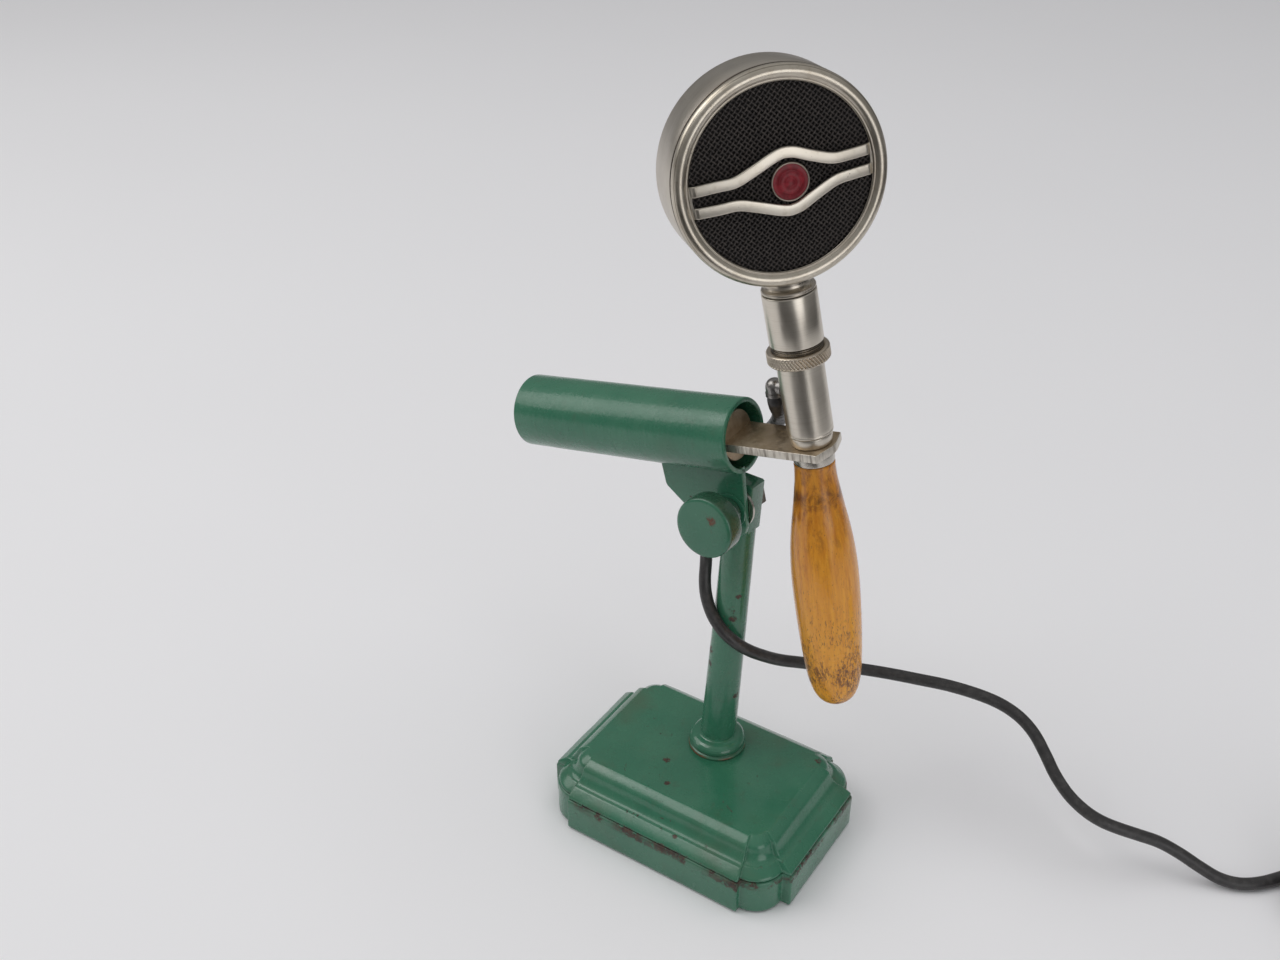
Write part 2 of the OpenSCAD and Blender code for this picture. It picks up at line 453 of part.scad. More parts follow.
felt_pad();
base_plinth();
base_cover();
base_screws();
post_flange();
post();
post_nut();
clamp_screw();
clamp_nut();
clamp_washer();
knob_washer();
clamp_knob();
bracket_plate();
arm_tube();
friction_sleeve();
tube_plug();
holder();
lower_plug();
lower_sleeve();
socket_insulator();
socket_contacts();
inner_leads();
cord_elbow();
cord_boot();
union_washer();
union_nut();
upper_sleeve();
neck();
neck_nut();
plug_insulator();
contact_pins();
head_leads();
head_shell();
bezel();
grille();
guard_bars();
badge_rim();
badge_enamel();
baffle();
clamp_ring();
diaphragm();
spacer_ring();
capsule_body();
carbon_button();
back_screws();
handle_collar();
handle_stud();
wood_handle();
cord_top();
cord_run();
cord_coil();
cord_tie();
cord_tail();
plug_boot();
plug_shell();
plug_insert();
plug_pins();
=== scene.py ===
import math
import bpy
from mathutils import Matrix, Vector, noise


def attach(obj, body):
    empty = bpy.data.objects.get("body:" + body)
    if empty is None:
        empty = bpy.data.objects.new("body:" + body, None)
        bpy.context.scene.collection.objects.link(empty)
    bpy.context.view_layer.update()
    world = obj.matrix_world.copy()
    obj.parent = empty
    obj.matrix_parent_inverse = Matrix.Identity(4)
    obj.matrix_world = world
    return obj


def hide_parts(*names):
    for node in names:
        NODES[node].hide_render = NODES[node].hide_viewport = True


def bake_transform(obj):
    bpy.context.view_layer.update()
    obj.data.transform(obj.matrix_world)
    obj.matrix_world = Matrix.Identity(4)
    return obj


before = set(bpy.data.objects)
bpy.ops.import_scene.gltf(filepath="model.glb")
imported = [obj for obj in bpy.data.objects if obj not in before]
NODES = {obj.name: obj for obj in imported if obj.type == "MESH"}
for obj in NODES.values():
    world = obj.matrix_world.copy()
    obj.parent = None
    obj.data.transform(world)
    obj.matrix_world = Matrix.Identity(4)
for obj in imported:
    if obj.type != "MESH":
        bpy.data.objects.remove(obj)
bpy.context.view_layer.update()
scene = bpy.context.scene
MM = 0.001


# --------------------------------------------------------------------------
# Frames of the object, all in the row frame (metres)
# --------------------------------------------------------------------------
def move(x, y, z):
    return Matrix.Translation((x * MM, y * MM, z * MM))


def rx(d):
    return Matrix.Rotation(math.radians(d), 4, "X")


def ry(d):
    return Matrix.Rotation(math.radians(d), 4, "Y")


def rz(d):
    return Matrix.Rotation(math.radians(d), 4, "Z")


STAND = move(0.4, 10.7, 30) @ rx(-6.5) @ rz(-2)
HINGE = STAND @ move(0, 0, 116.2)
ARM = HINGE @ ry(-12)
TUBE = ARM @ move(6.9, -5.3, 29.7)
MIC = TUBE @ move(29.1, 0, 0) @ rx(8)
HAND = MIC @ move(0, 0, -2) @ ry(2.4) @ rx(-1.7)
HEAD = MIC @ move(0, 0, 102.2) @ rz(47.5)
ALONG_Y = rx(-90)   # the piece's Z becomes Y
ALONG_X = ry(90)    # the piece's Z becomes X
WORLD = Matrix.Identity(4)

# --------------------------------------------------------------------------
# Camera
# --------------------------------------------------------------------------
def camera():
    v = Vector((2.08332596, 0.62710473, -0.34107557))
    r = Matrix.Rotation(v.length, 3, v.normalized())
    cam = bpy.data.objects.new("camera", bpy.data.cameras.new("camera"))
    scene.collection.objects.link(cam)
    m = Matrix((r[0], -r[1], -r[2])).transposed().to_4x4()
    m.translation = Vector((0.22065, -0.37731, 0.45752))
    cam.matrix_world = m
    cam.data.sensor_fit = "HORIZONTAL"
    cam.data.sensor_width = 36.0
    cam.data.lens = 1433.0 / 1280 * 36.0
    cam.data.clip_start, cam.data.clip_end = 0.01, 30
    scene.camera = cam


camera()
scene.view_settings.view_transform = "Standard"


# --------------------------------------------------------------------------
# Node materials
# --------------------------------------------------------------------------
class Mat:
    """A small helper that builds a node material step by step."""

    def __init__(self, name):
        self.m = bpy.data.materials.new(name)
        self.m.use_nodes = True
        self.t = self.m.node_tree
        self.t.nodes.clear()
        self.out = self.t.nodes.new("ShaderNodeOutputMaterial")
        self.p = self.t.nodes.new("ShaderNodeBsdfPrincipled")
        self.t.links.new(self.p.outputs[0], self.out.inputs[0])
        self.tc = self.t.nodes.new("ShaderNodeTexCoord")
        self.obj = self.tc.outputs["Object"]
        self.uv = self.tc.outputs["UV"]

    def put(self, socket, value):
        if hasattr(value, "is_output"):
            self.t.links.new(value, socket)
        elif isinstance(value, tuple) and len(value) == 3 and socket.type == "RGBA":
            socket.default_value = (*value, 1)
        else:
            socket.default_value = value

    def set(self, **kw):
        for k, v in kw.items():
            self.put(self.p.inputs[k.replace("_", " ")], v)
        return self

    def map(self, vec, scale=(1, 1, 1), loc=(0, 0, 0), rot=(0, 0, 0)):
        n = self.t.nodes.new("ShaderNodeMapping")
        self.put(n.inputs["Vector"], vec)
        n.inputs["Scale"].default_value = scale
        n.inputs["Location"].default_value = loc
        n.inputs["Rotation"].default_value = rot
        return n.outputs[0]

    def noise(self, scale, detail=3, rough=0.55, vec=None, dist=0.0):
        n = self.t.nodes.new("ShaderNodeTexNoise")
        self.put(n.inputs["Vector"], self.obj if vec is None else vec)
        n.inputs["Scale"].default_value = scale
        n.inputs["Detail"].default_value = detail
        n.inputs["Roughness"].default_value = rough
        n.inputs["Distortion"].default_value = dist
        return n.outputs["Fac"]

    def voronoi(self, scale, vec=None, feature="F1", rand=1.0):
        n = self.t.nodes.new("ShaderNodeTexVoronoi")
        n.feature = feature
        self.put(n.inputs["Vector"], self.obj if vec is None else vec)
        n.inputs["Scale"].default_value = scale
        n.inputs["Randomness"].default_value = rand
        return n.outputs["Distance"]

    def xyz(self, vec=None):
        n = self.t.nodes.new("ShaderNodeSeparateXYZ")
        self.put(n.inputs[0], self.obj if vec is None else vec)
        return n.outputs

    def math(self, op, a, b=0.0, c=0.0, clamp=False):
        n = self.t.nodes.new("ShaderNodeMath")
        n.operation = op
        n.use_clamp = clamp
        self.put(n.inputs[0], a)
        self.put(n.inputs[1], b)
        self.put(n.inputs[2], c)
        return n.outputs[0]

    def step(self, v, lo, hi, to_lo=0.0, to_hi=1.0):
        n = self.t.nodes.new("ShaderNodeMapRange")
        n.interpolation_type = "SMOOTHSTEP"
        self.put(n.inputs[0], v)
        n.inputs[1].default_value = lo
        n.inputs[2].default_value = hi
        n.inputs[3].default_value = to_lo
        n.inputs[4].default_value = to_hi
        return n.outputs[0]

    def mix(self, f, a, b, blend="MIX"):
        n = self.t.nodes.new("ShaderNodeMix")
        n.data_type = "RGBA"
        n.blend_type = blend
        n.clamp_factor = True
        self.put(n.inputs[0], f)
        self.put(n.inputs[6], a)
        self.put(n.inputs[7], b)
        return n.outputs[2]

    def lerp(self, f, a, b):
        n = self.t.nodes.new("ShaderNodeMix")
        n.data_type = "FLOAT"
        self.put(n.inputs[0], f)
        self.put(n.inputs[2], a)
        self.put(n.inputs[3], b)
        return n.outputs[0]

    def bump(self, height, dist, strength=1.0, normal=None):
        n = self.t.nodes.new("ShaderNodeBump")
        n.inputs["Strength"].default_value = strength
        n.inputs["Distance"].default_value = dist
        self.put(n.inputs["Height"], height)
        if normal is not None:
            self.put(n.inputs["Normal"], normal)
        return n.outputs[0]

    def edge(self, radius=0.0008, samples=6):
        """1 on a worn convex or concave edge, 0 on flat ground."""
        b = self.t.nodes.new("ShaderNodeBevel")
        b.samples = samples
        b.inputs["Radius"].default_value = radius
        g = self.t.nodes.new("ShaderNodeNewGeometry")
        d = self.t.nodes.new("ShaderNodeVectorMath")
        d.operation = "DOT_PRODUCT"
        self.put(d.inputs[0], b.outputs[0])
        self.put(d.inputs[1], g.outputs["Normal"])
        return self.math("SUBTRACT", 1.0, d.outputs["Value"], clamp=True)


def enamel(name, streak=None, wear=1.0, seam=None, spots=1.0, patch=None, tone=1.0, grime=0.0, gloss=0.20, orange=0.0, relief=1.0, side_dirt_and_shade=None):
    """Old green stove enamel: hand-brushed ripple, chips on the edges, rust in the chips."""
    m = Mat(name)
    big = m.noise(45, 4, 0.6)
    c = m.mix(m.step(big, 0.3, 0.7), (0.026 * tone, 0.148 * tone, 0.084 * tone), (0.040 * tone, 0.168 * tone, 0.098 * tone))
    dull = m.noise(130, 5, 0.65, dist=0.6)
    c = m.mix(m.step(dull, 0.52, 0.8, 0, 0.45), c, (0.055, 0.105, 0.062))
    # greasy brown bloom
    bloom = m.noise(28, 3, 0.5, vec=m.map(m.obj, loc=(3.1, 1.7, 0.4)))
    c = m.mix(m.step(bloom, 0.5, 0.78, 0, 0.28 + grime), c, (0.075, 0.082, 0.045))
    # Darker rim side, back chamfer and boss: partly real dirt on the side, partly painted shade of the side and back
    # that face away from the light.
    if side_dirt_and_shade is not None:
        r0, r1, amount = side_dirt_and_shade
        dx, dy, dz = m.xyz()
        rad = m.math("SQRT", m.math("ADD", m.math("MULTIPLY", dx, dx), m.math("MULTIPLY", dy, dy)))
        sn = m.step(m.noise(150, 4, 0.6, vec=m.map(m.obj, loc=(2, 7, 5))), 0.25, 0.6, 0.6, 1.0)
        out = m.math("MAXIMUM", m.step(rad, r0, r1, 0, amount), m.step(dz, 0.004, 0.007, 0, amount))
        c = m.mix(m.math("MULTIPLY", out, sn), c, (0.022, 0.034, 0.020))
    # chips: small spots that come in groups
    grp = m.step(m.noise(60, 2, 0.5, vec=m.map(m.obj, loc=(7, 2, 5))), 0.5, 0.66)
    fine = m.noise(420, 6, 0.62, dist=0.8)
    spot = m.math("MULTIPLY", m.step(fine, 0.655 - 0.02 * spots, 0.70 - 0.02 * spots), grp, clamp=True)
    e = m.edge(0.0007)
    en = m.noise(260, 6, 0.68, dist=1.0)
    eg = m.step(m.noise(75, 2, 0.5, vec=m.map(m.obj, loc=(1, 9, 4))), 0.42, 0.62)
    chip = m.math("MULTIPLY", m.step(e, 0.05, 0.22), m.step(en, 0.60 - 0.10 * wear, 0.66 - 0.10 * wear), clamp=True)
    chip = m.math("MULTIPLY", chip, eg, clamp=True)
    chip = m.math("MAXIMUM", chip, spot)
    rust_amount = 0.25
    if seam is not None:
        sx, _, z = m.xyz()
        side = m.step(sx, 0.042, 0.056, 1.0, 0.90)
        for z0, half, amount in seam:
            d = m.math("ABSOLUTE", m.math("SUBTRACT", z, z0))
            near = m.step(d, half * 0.15, half, 1, 0)
            s = m.math("ADD", m.noise(330, 6, 0.7, dist=1.4), m.math("MULTIPLY", m.math("MULTIPLY", near, side), amount))
            g2 = m.step(m.noise(52, 2, 0.5, vec=m.map(m.obj, loc=(4, 4, 8))), 0.39, 0.53)
            s = m.math("MULTIPLY", m.step(s, 0.80, 0.845), m.math("MULTIPLY", near, g2), clamp=True)
            chip = m.math("MAXIMUM", chip, s)
    stain = None
    if patch is not None:
        for (px, py, pz), rad in patch:
            d = m.t.nodes.new("ShaderNodeVectorMath")
            d.operation = "DISTANCE"
            m.put(d.inputs[0], m.obj)
            d.inputs[1].default_value = (px * MM, py * MM, pz * MM)
            near = m.step(d.outputs["Value"], rad * MM * 0.3, rad * MM, 1, 0)
            s = m.step(m.math("ADD", m.noise(500, 5, 0.7, dist=1.0), m.math("MULTIPLY", near, 0.34)), 0.74, 0.82)
            s = m.math("MULTIPLY", s, near, clamp=True)
            chip = m.math("MAXIMUM", chip, s)
            stain = s if stain is None else m.math("MAXIMUM", stain, s)
    rn = m.noise(900, 3, 0.6)
    bare = m.mix(m.step(rn, 0.4, 0.62), (0.026, 0.018, 0.014), (0.070, 0.038, 0.022))
    if stain is not None:
        bare = m.mix(m.math("MULTIPLY", stain, 0.12), bare, (0.13, 0.055, 0.030))
    if orange:
        bare = m.mix(orange, bare, (0.24, 0.075, 0.022))
    # a rim of rust round the chips
    halo = m.step(m.math("ADD", chip, m.step(fine, 0.60, 0.7, 0, rust_amount)), 0.12, 0.9)
    c = m.mix(m.math("MULTIPLY", m.step(halo, 0.1, 0.7, 0, 0.35), eg, clamp=True), c, (0.10, 0.085, 0.045))
    c = m.mix(chip, c, bare)
    # height: brushed ripple, orange peel, and the chips' own depth
    vec = m.obj if streak is None else m.map(m.obj, scale=streak)
    ripple = m.noise(1.0 if streak else 240, 4, 0.6, vec=vec)
    peel = m.noise(420, 2, 0.5)
    h = m.math("ADD", m.math("MULTIPLY", ripple, 0.7), m.math("MULTIPLY", peel, 0.25))
    h = m.math("SUBTRACT", h, m.math("MULTIPLY", chip, 1.2))
    rough = m.lerp(chip, m.step(m.noise(170, 4, 0.6), 0.3, 0.75, gloss, gloss + 0.12), 0.8)
    m.set(Base_Color=c, Roughness=rough, Normal=m.bump(h, 0.00022 * relief, 0.55))
    m.p.inputs["IOR"].default_value = 1.5
    m.p.inputs["Specular IOR Level"].default_value = 0.5
    m.p.inputs["Coat Weight"].default_value = 0.35
    m.p.inputs["Coat Roughness"].default_value = 0.10
    return m.m


def nickel(name, lines=None, tarnish=0.5, rough=0.27, tint=(0.70, 0.655, 0.58), pits=0.4, edge_bright=0.0, spin=0.0, groove_shade_at=(), thread=None):
    """Worn nickel plate with fine turning lines, tarnish and small pits."""
    m = Mat(name)
    dark = tuple(x * y for x, y in zip(tint, (0.62, 0.57, 0.50)))
    t = m.noise(70, 4, 0.55, dist=0.3)
    t2 = m.noise(520, 4, 0.6, vec=m.map(m.obj, loc=(2, 3, 4)))
    c = m.mix(m.math("MULTIPLY", m.step(t, 0.35, 0.85), tarnish, clamp=True), tint, dark)
    c = m.mix(m.step(t2, 0.50, 0.85, 0, 0.25 * tarnish), c, dark)
    if lines:
        f = m.noise(1.0, 2, 0.6, vec=m.map(m.obj, scale=lines, loc=(3, 1, 7)))
        c = m.mix(m.step(f, 0.5, 0.75, 0, 0.35), c, dark)
    pit = m.math("MULTIPLY", m.step(m.voronoi(700), 0.20, 0.10), m.step(m.noise(150, 3, 0.6, vec=m.map(m.obj, loc=(5, 1, 2))), 0.58, 0.68), clamp=True)
    pit = m.math("MULTIPLY", pit, pits, clamp=True)
    c = m.mix(pit, c, (0.055, 0.040, 0.028))
    z = m.xyz()[2]
    # Painted shade: dark brown bands at given heights, for the shaded joint between drum and bezel and the bezel's
    # inner groove.
    for z0, half, amount in groove_shade_at:
        near = m.step(m.math("ABSOLUTE", m.math("SUBTRACT", z, z0)), half * 0.4, half, amount, 0)
        c = m.mix(near, c, (0.040, 0.026, 0.016))
    # Painted shade: dark lines at the thread's pitch between heights lo and hi, for the shade in the thread's grooves.
    if thread:
        lo, hi, pitch = thread
        inside = m.math("MULTIPLY", m.math("GREATER_THAN", z, lo), m.math("LESS_THAN", z, hi))
        wave = m.step(m.math("SINE", m.math("MULTIPLY", z, 2 * math.pi / pitch)), -0.1, 0.6, 0, 0.9)
        c = m.mix(m.math("MULTIPLY", inside, wave), c, (0.050, 0.036, 0.024))
    if edge_bright:
        e = m.step(m.edge(0.0005), 0.03, 0.2, 0, edge_bright)
        c = m.mix(e, c, (0.86, 0.82, 0.74))
    r = m.step(m.noise(120, 3, 0.6, vec=m.map(m.obj, loc=(8, 8, 1))), 0.3, 0.8, rough - 0.02, rough + 0.035)
    r = m.lerp(pit, r, 0.7)
    vec = m.map(m.obj, scale=lines if lines else (500, 500, 500))
    h = m.noise(1.0, 3, 0.7, vec=vec)
    h = m.math("SUBTRACT", h, m.math("MULTIPLY", pit, 2.0))
    m.set(Base_Color=c, Metallic=1.0, Roughness=r, Normal=m.bump(h, 0.00002, 0.5))
    if spin:
        tg = m.t.nodes.new("ShaderNodeTangent")
        tg.direction_type = "RADIAL"
        tg.axis = "Z"
        m.set(Anisotropic=spin, Tangent=tg.outputs[0])
    return m.m


def plain(name, a, b, scale, rough, metallic=0.0, bump=0.00005, bscale=None, **kw):
    m = Mat(name)
    n = m.noise(scale, 5, 0.62, dist=0.4)
    m.set(Base_Color=m.mix(m.step(n, 0.3, 0.72), a, b), Metallic=metallic,
          Roughness=m.step(n, 0.2, 0.8, rough - 0.08, rough + 0.08),
          Normal=m.bump(m.noise(bscale or scale * 4, 4, 0.6), bump, 0.6))
    for k, v in kw.items():
        m.p.inputs[k.replace("_", " ")].default_value = v
    return m.m


def wood(name):
    """Amber varnished hardwood, grain along Z, dark specks low down and a dark ring near the top."""
    m = Mat(name)
    x, y, z = m.xyz()
    g1 = m.noise(1.0, 5, 0.65, vec=m.map(m.obj, scale=(640, 640, 44)), dist=0.25)
    g2 = m.noise(1.0, 3, 0.6, vec=m.map(m.obj, scale=(300, 300, 22), loc=(2, 5, 1)), dist=0.4)
    g3 = m.noise(38, 3, 0.5)
    c = m.mix(m.step(g1, 0.32, 0.72), (0.80, 0.345, 0.024), (0.60, 0.215, 0.013))
    c = m.mix(m.step(g2, 0.42, 0.85, 0, 0.35), c, (0.50, 0.160, 0.009))
    c = m.mix(m.step(g3, 0.5, 0.75, 0, 0.5), c, (0.84, 0.40, 0.036))
    fl = m.noise(1.0, 3, 0.7, vec=m.map(m.obj, scale=(900, 900, 110), loc=(4, 8, 2)))
    c = m.mix(m.step(fl, 0.56, 0.66, 0, 0.42), c, (0.42, 0.130, 0.012))
    c = m.mix(m.step(fl, 0.42, 0.32, 0, 0.35), c, (0.90, 0.47, 0.060))
    up = m.step(z, -0.052, -0.012, 0, 1)
    c = m.mix(m.math("MULTIPLY", up, 0.38), c, (0.36, 0.120, 0.012))
    c = m.mix(m.step(z, -0.035, -0.075, 0, 0.28), c, (0.90, 0.43, 0.034))
    # short dark pores that follow the grain
    pores = m.noise(1.0, 4, 0.7, vec=m.map(m.obj, scale=(1700, 1700, 420)), dist=0.2)
    low = m.step(z, -0.094, -0.040, 1, 0.0)
    low = m.math("MULTIPLY", low, m.step(m.noise(75, 4, 0.6, vec=m.map(m.obj, loc=(1, 1, 6))), 0.30, 0.56))
    p = m.step(m.math("ADD", pores, m.math("MULTIPLY", low, 0.14)), 0.62, 0.70)
    c = m.mix(m.math("MULTIPLY", p, 0.72), c, (0.115, 0.036, 0.012))
    smut = m.noise(640, 6, 0.74, vec=m.map(m.obj, scale=(1, 1, 0.7), loc=(3, 2, 2)), dist=0.5)
    s = m.step(m.math("ADD", smut, m.math("MULTIPLY", low, 0.20)), 0.66, 0.76)
    c = m.mix(m.math("MULTIPLY", s, m.math("MULTIPLY", low, 0.75)), c, (0.090, 0.022, 0.010))
    # dark stain in a ring near the top
    ring = m.math("SUBTRACT", 1.0, m.step(m.math("ABSOLUTE", m.math("ADD", z, 0.0125)), 0.0010, 0.0046), clamp=True)
    rn = m.step(m.noise(190, 6, 0.75, vec=m.map(m.obj, loc=(6, 6, 3)), dist=0.9), 0.38, 0.64)
    c = m.mix(m.math("MULTIPLY", m.math("MULTIPLY", ring, rn), 0.80), c, (0.075, 0.028, 0.012))
    # ground-in dirt along the upper third
    d = m.step(m.noise(1.0, 5, 0.7, vec=m.map(m.obj, scale=(330, 330, 150), loc=(9, 1, 1)), dist=0.25), 0.47, 0.66)
    c = m.mix(m.math("MULTIPLY", m.math("MULTIPLY", up, d), 0.62), c, (0.17, 0.045, 0.014))
    rough = m.math("ADD", m.step(g3, 0.3, 0.7, 0.22, 0.32), m.math("MULTIPLY", s, 0.25))
    h = m.math("ADD", m.math("MULTIPLY", g1, 0.35), m.math("MULTIPLY", p, -0.9))
    m.set(Base_Color=c, Roughness=rough, Normal=m.bump(h, 0.00010, 0.5))
    m.p.inputs["Coat Weight"].default_value = 0.35
    m.p.inputs["Coat Roughness"].default_value = 0.15
    m.p.inputs["Specular IOR Level"].default_value = 0.45
    return m.m


def rubber(name):
    """Black rubber sheath with faint lengthwise ribs over its cores, and pale bloom. Needs UV: round, along."""
    m = Mat(name)
    u, v, _ = m.xyz(m.uv)
    n = m.noise(300, 5, 0.65)
    streaks = m.noise(1.0, 4, 0.6, vec=m.map(m.uv, scale=(26, 60, 1)))
    c = m.mix(m.step(n, 0.4, 0.75), (0.027, 0.0255, 0.026), (0.055, 0.052, 0.051))
    c = m.mix(m.step(streaks, 0.55, 0.8, 0, 0.5), c, (0.105, 0.098, 0.094))
    ribs = m.math("SINE", m.math("MULTIPLY", u, 2 * math.pi * 3))
    h = m.math("ADD", m.math("MULTIPLY", ribs, 0.5), m.math("MULTIPLY", streaks, 0.5))
    h = m.math("ADD", h, m.math("MULTIPLY", n, 0.3))
    m.set(Base_Color=c, Roughness=m.step(n, 0.3, 0.8, 0.36, 0.52), Normal=m.bump(h, 0.00012, 0.7))
    m.p.inputs["Specular IOR Level"].default_value = 0.5
    return m.m


def plate_top(name):
    """Brown, worn top of the holder's plate, brighter towards its edges."""
    m = Mat(name)
    n = m.noise(70, 5, 0.65, dist=0.6)
    n2 = m.noise(420, 5, 0.7, dist=0.8)
    c = m.mix(m.step(n, 0.35, 0.68), (0.36, 0.27, 0.17), (0.52, 0.42, 0.30))
    c = m.mix(m.step(n2, 0.58, 0.72, 0, 0.8), c, (0.16, 0.105, 0.055))
    e = m.step(m.edge(0.0009), 0.02, 0.2)
    c = m.mix(e, c, (0.74, 0.68, 0.58))
    line = m.noise(1.0, 3, 0.7, vec=m.map(m.obj, scale=(60, 1400, 60)))
    m.set(Base_Color=c, Metallic=m.step(n2, 0.4, 0.75, 0.85, 0.5), Roughness=m.step(n2, 0.3, 0.75, 0.36, 0.58),
          Normal=m.bump(m.math("ADD", n2, line), 0.00006, 0.6))
    return m.m


def plate_side(name):
    """Bright filed edge with upright file marks, some of them dark."""
    m = Mat(name)
    f1 = m.noise(1.0, 3, 0.75, vec=m.map(m.obj, scale=(900, 900, 90), rot=(0, 0.25, 0)))
    f2 = m.noise(1.0, 2, 0.6, vec=m.map(m.obj, scale=(330, 330, 40), rot=(0, 0.2, 0), loc=(4, 2, 1)))
    c = m.mix(m.step(f1, 0.42, 0.70), (0.78, 0.73, 0.65), (0.46, 0.41, 0.35))
    c = m.mix(m.step(f2, 0.60, 0.70, 0, 0.6), c, (0.16, 0.13, 0.105))
    m.set(Base_Color=c, Metallic=0.9, Roughness=m.step(f1, 0.3, 0.8, 0.38, 0.55), Normal=m.bump(m.math("SUBTRACT", f1, f2), 0.00012, 0.8))
    return m.m


def red(name):
    m = Mat(name)
    n = m.noise(420, 4, 0.6, dist=0.5)
    c = m.mix(m.step(n, 0.35, 0.7), (0.15, 0.007, 0.013), (0.26, 0.015, 0.025))
    w = m.step(m.noise(900, 5, 0.7), 0.66, 0.74)
    c = m.mix(w, c, (0.06, 0.03, 0.028))
    m.set(Base_Color=c, Roughness=m.step(n, 0.3, 0.7, 0.3, 0.42), Normal=m.bump(n, 0.00008, 0.5))
    m.p.inputs["Specular IOR Level"].default_value = 0.3
    return m.m


M = {}
BASE_SPOTS = [((-11.2, -10.4, 30), 2.8), ((-4.1, -21.5, 30), 2.4), ((41.6, 23.7, 29.5), 2.8), ((9.5, -37.0, 21), 2.0), ((43.2, -41.6, 10), 2.2), ((46.0, -36.9, 15), 4.0), ((55.0, -24.1, 15.5), 3.0),
              ((40.8, -41.4, 13), 2.4), ((29.7, -41.1, 15.6), 3.4), ((6.1, -41.4, 15.6), 4.6), ((-10, -41.4, 15.4), 4.4), ((-25, -41.4, 15.6), 4.2), ((16, -41.4, 15.0), 3.6)]
POST_SPOTS = [((5.2, -4.1, 76.7), 2.5), ((4.2, -5.2, 66.4), 3.0), ((-4.3, -5.4, 48.2), 2.9), ((-3.9, -5.8, 41.7), 2.6), ((7.1, -0.9, 28.0), 3.2)]
M["base"] = enamel("enamel_base", wear=1.15, seam=[(0.0152, 0.0050, 0.385), (0.0209, 0.0009, 0.21)], spots=1.0, grime=0.22, patch=BASE_SPOTS)
M["post"] = enamel("enamel_post", streak=(260, 260, 60), wear=0.7, spots=1.2, patch=POST_SPOTS)
M["flange"] = enamel("enamel_flange", wear=0.6, spots=0.6, grime=0.20, seam=[(0.0004, 0.0014, 0.55)], gloss=0.15, orange=0.6)
M["knob"] = enamel("enamel_knob", wear=0.5, spots=0.2, patch=[((3.0, -4.5, 0.1), 3.6)], tone=0.92, orange=0.3, side_dirt_and_shade=(0.0117, 0.0120, 0.62))
M["tube"] = enamel("enamel_tube", streak=(30, 620, 620), wear=0.5, spots=0.15, tone=1.0, gloss=0.24, relief=2.3)
M["bracket"] = enamel("enamel_bracket", wear=0.7, spots=0.4)
M["nickel_turned"] = nickel("nickel_turned", thread=(0.0368, 0.0411, 0.00075), lines=(20, 20, 2600), tarnish=0.14, rough=0.31, tint=(0.68, 0.63, 0.55), pits=0.08)
M["nickel_drum"] = nickel("nickel_drum", groove_shade_at=[(-0.0095, 0.0010, 0.95)], lines=(40, 40, 1300), tarnish=0.30, rough=0.36, tint=(0.60, 0.555, 0.49), pits=0.3)
M["nickel_rim"] = nickel("nickel_rim", groove_shade_at=[(-0.0093, 0.0008, 0.95), (-0.01238, 0.00022, 0.5)], lines=(700, 700, 700), tarnish=0.6, rough=0.31, tint=(0.60, 0.55, 0.47), pits=0.6)
M["nickel_bars"] = nickel("nickel_bars", lines=(300, 1800, 300), tarnish=0.35, rough=0.33, tint=(0.66, 0.61, 0.53), pits=0.7, edge_bright=0.3)
M["nickel_neck"] = nickel("nickel_neck", lines=(40, 40, 2200), tarnish=0.7, rough=0.28, tint=(0.56, 0.51, 0.44), pits=0.5)
M["nickel_nut"] = nickel("nickel_nut", tarnish=0.8, rough=0.30, tint=(0.60, 0.53, 0.44), pits=0.2)
M["nickel_small"] = nickel("nickel_small", tarnish=0.5, rough=0.28, tint=(0.60, 0.57, 0.52), pits=0.3)
M["nickel_elbow"] = nickel("nickel_elbow", tarnish=0.6, rough=0.30, tint=(0.34, 0.33, 0.325), pits=0.4)
M["nickel_badge"] = nickel("nickel_badge", tarnish=0.7, rough=0.32, tint=(0.34, 0.29, 0.25), pits=0.5)
M["steel_dark"] = plain("steel_dark", (0.10, 0.085, 0.075), (0.24, 0.21, 0.18), 500, 0.5, 0.8, 0.0001)
M["steel"] = plain("steel_plain", (0.50, 0.48, 0.45), (0.62, 0.60, 0.57), 300, 0.38, 1.0)
M["brass"] = plain("brass_plain", (0.62, 0.44, 0.16), (0.74, 0.56, 0.26), 300, 0.34, 1.0)
M["bakelite"] = plain("bakelite", (0.030, 0.014, 0.008), (0.060, 0.026, 0.014), 220, 0.3, 0.0, 0.00004)
M["felt"] = plain("felt", (0.060, 0.070, 0.055), (0.120, 0.130, 0.105), 900, 0.95, 0.0, 0.0003, 1600)
M["fibre"] = plain("fibre", (0.14, 0.07, 0.035), (0.22, 0.12, 0.06), 500, 0.6)
M["lead"] = plain("lead_braid", (0.20, 0.025, 0.02), (0.34, 0.06, 0.05), 1800, 0.85, 0.0, 0.0003)
M["foil"] = plain("foil", (0.66, 0.66, 0.64), (0.78, 0.78, 0.76), 200, 0.3, 1.0)
M["capsule"] = plain("capsule_metal", (0.36, 0.36, 0.34), (0.5, 0.5, 0.48), 260, 0.42, 1.0)
M["carbon"] = plain("carbon", (0.012, 0.012, 0.013), (0.03, 0.03, 0.03), 600, 0.7)
M["wire"] = plain("mesh_wire", (0.020, 0.016, 0.015), (0.060, 0.050, 0.044), 700, 0.36, 0.0, 0.00004)
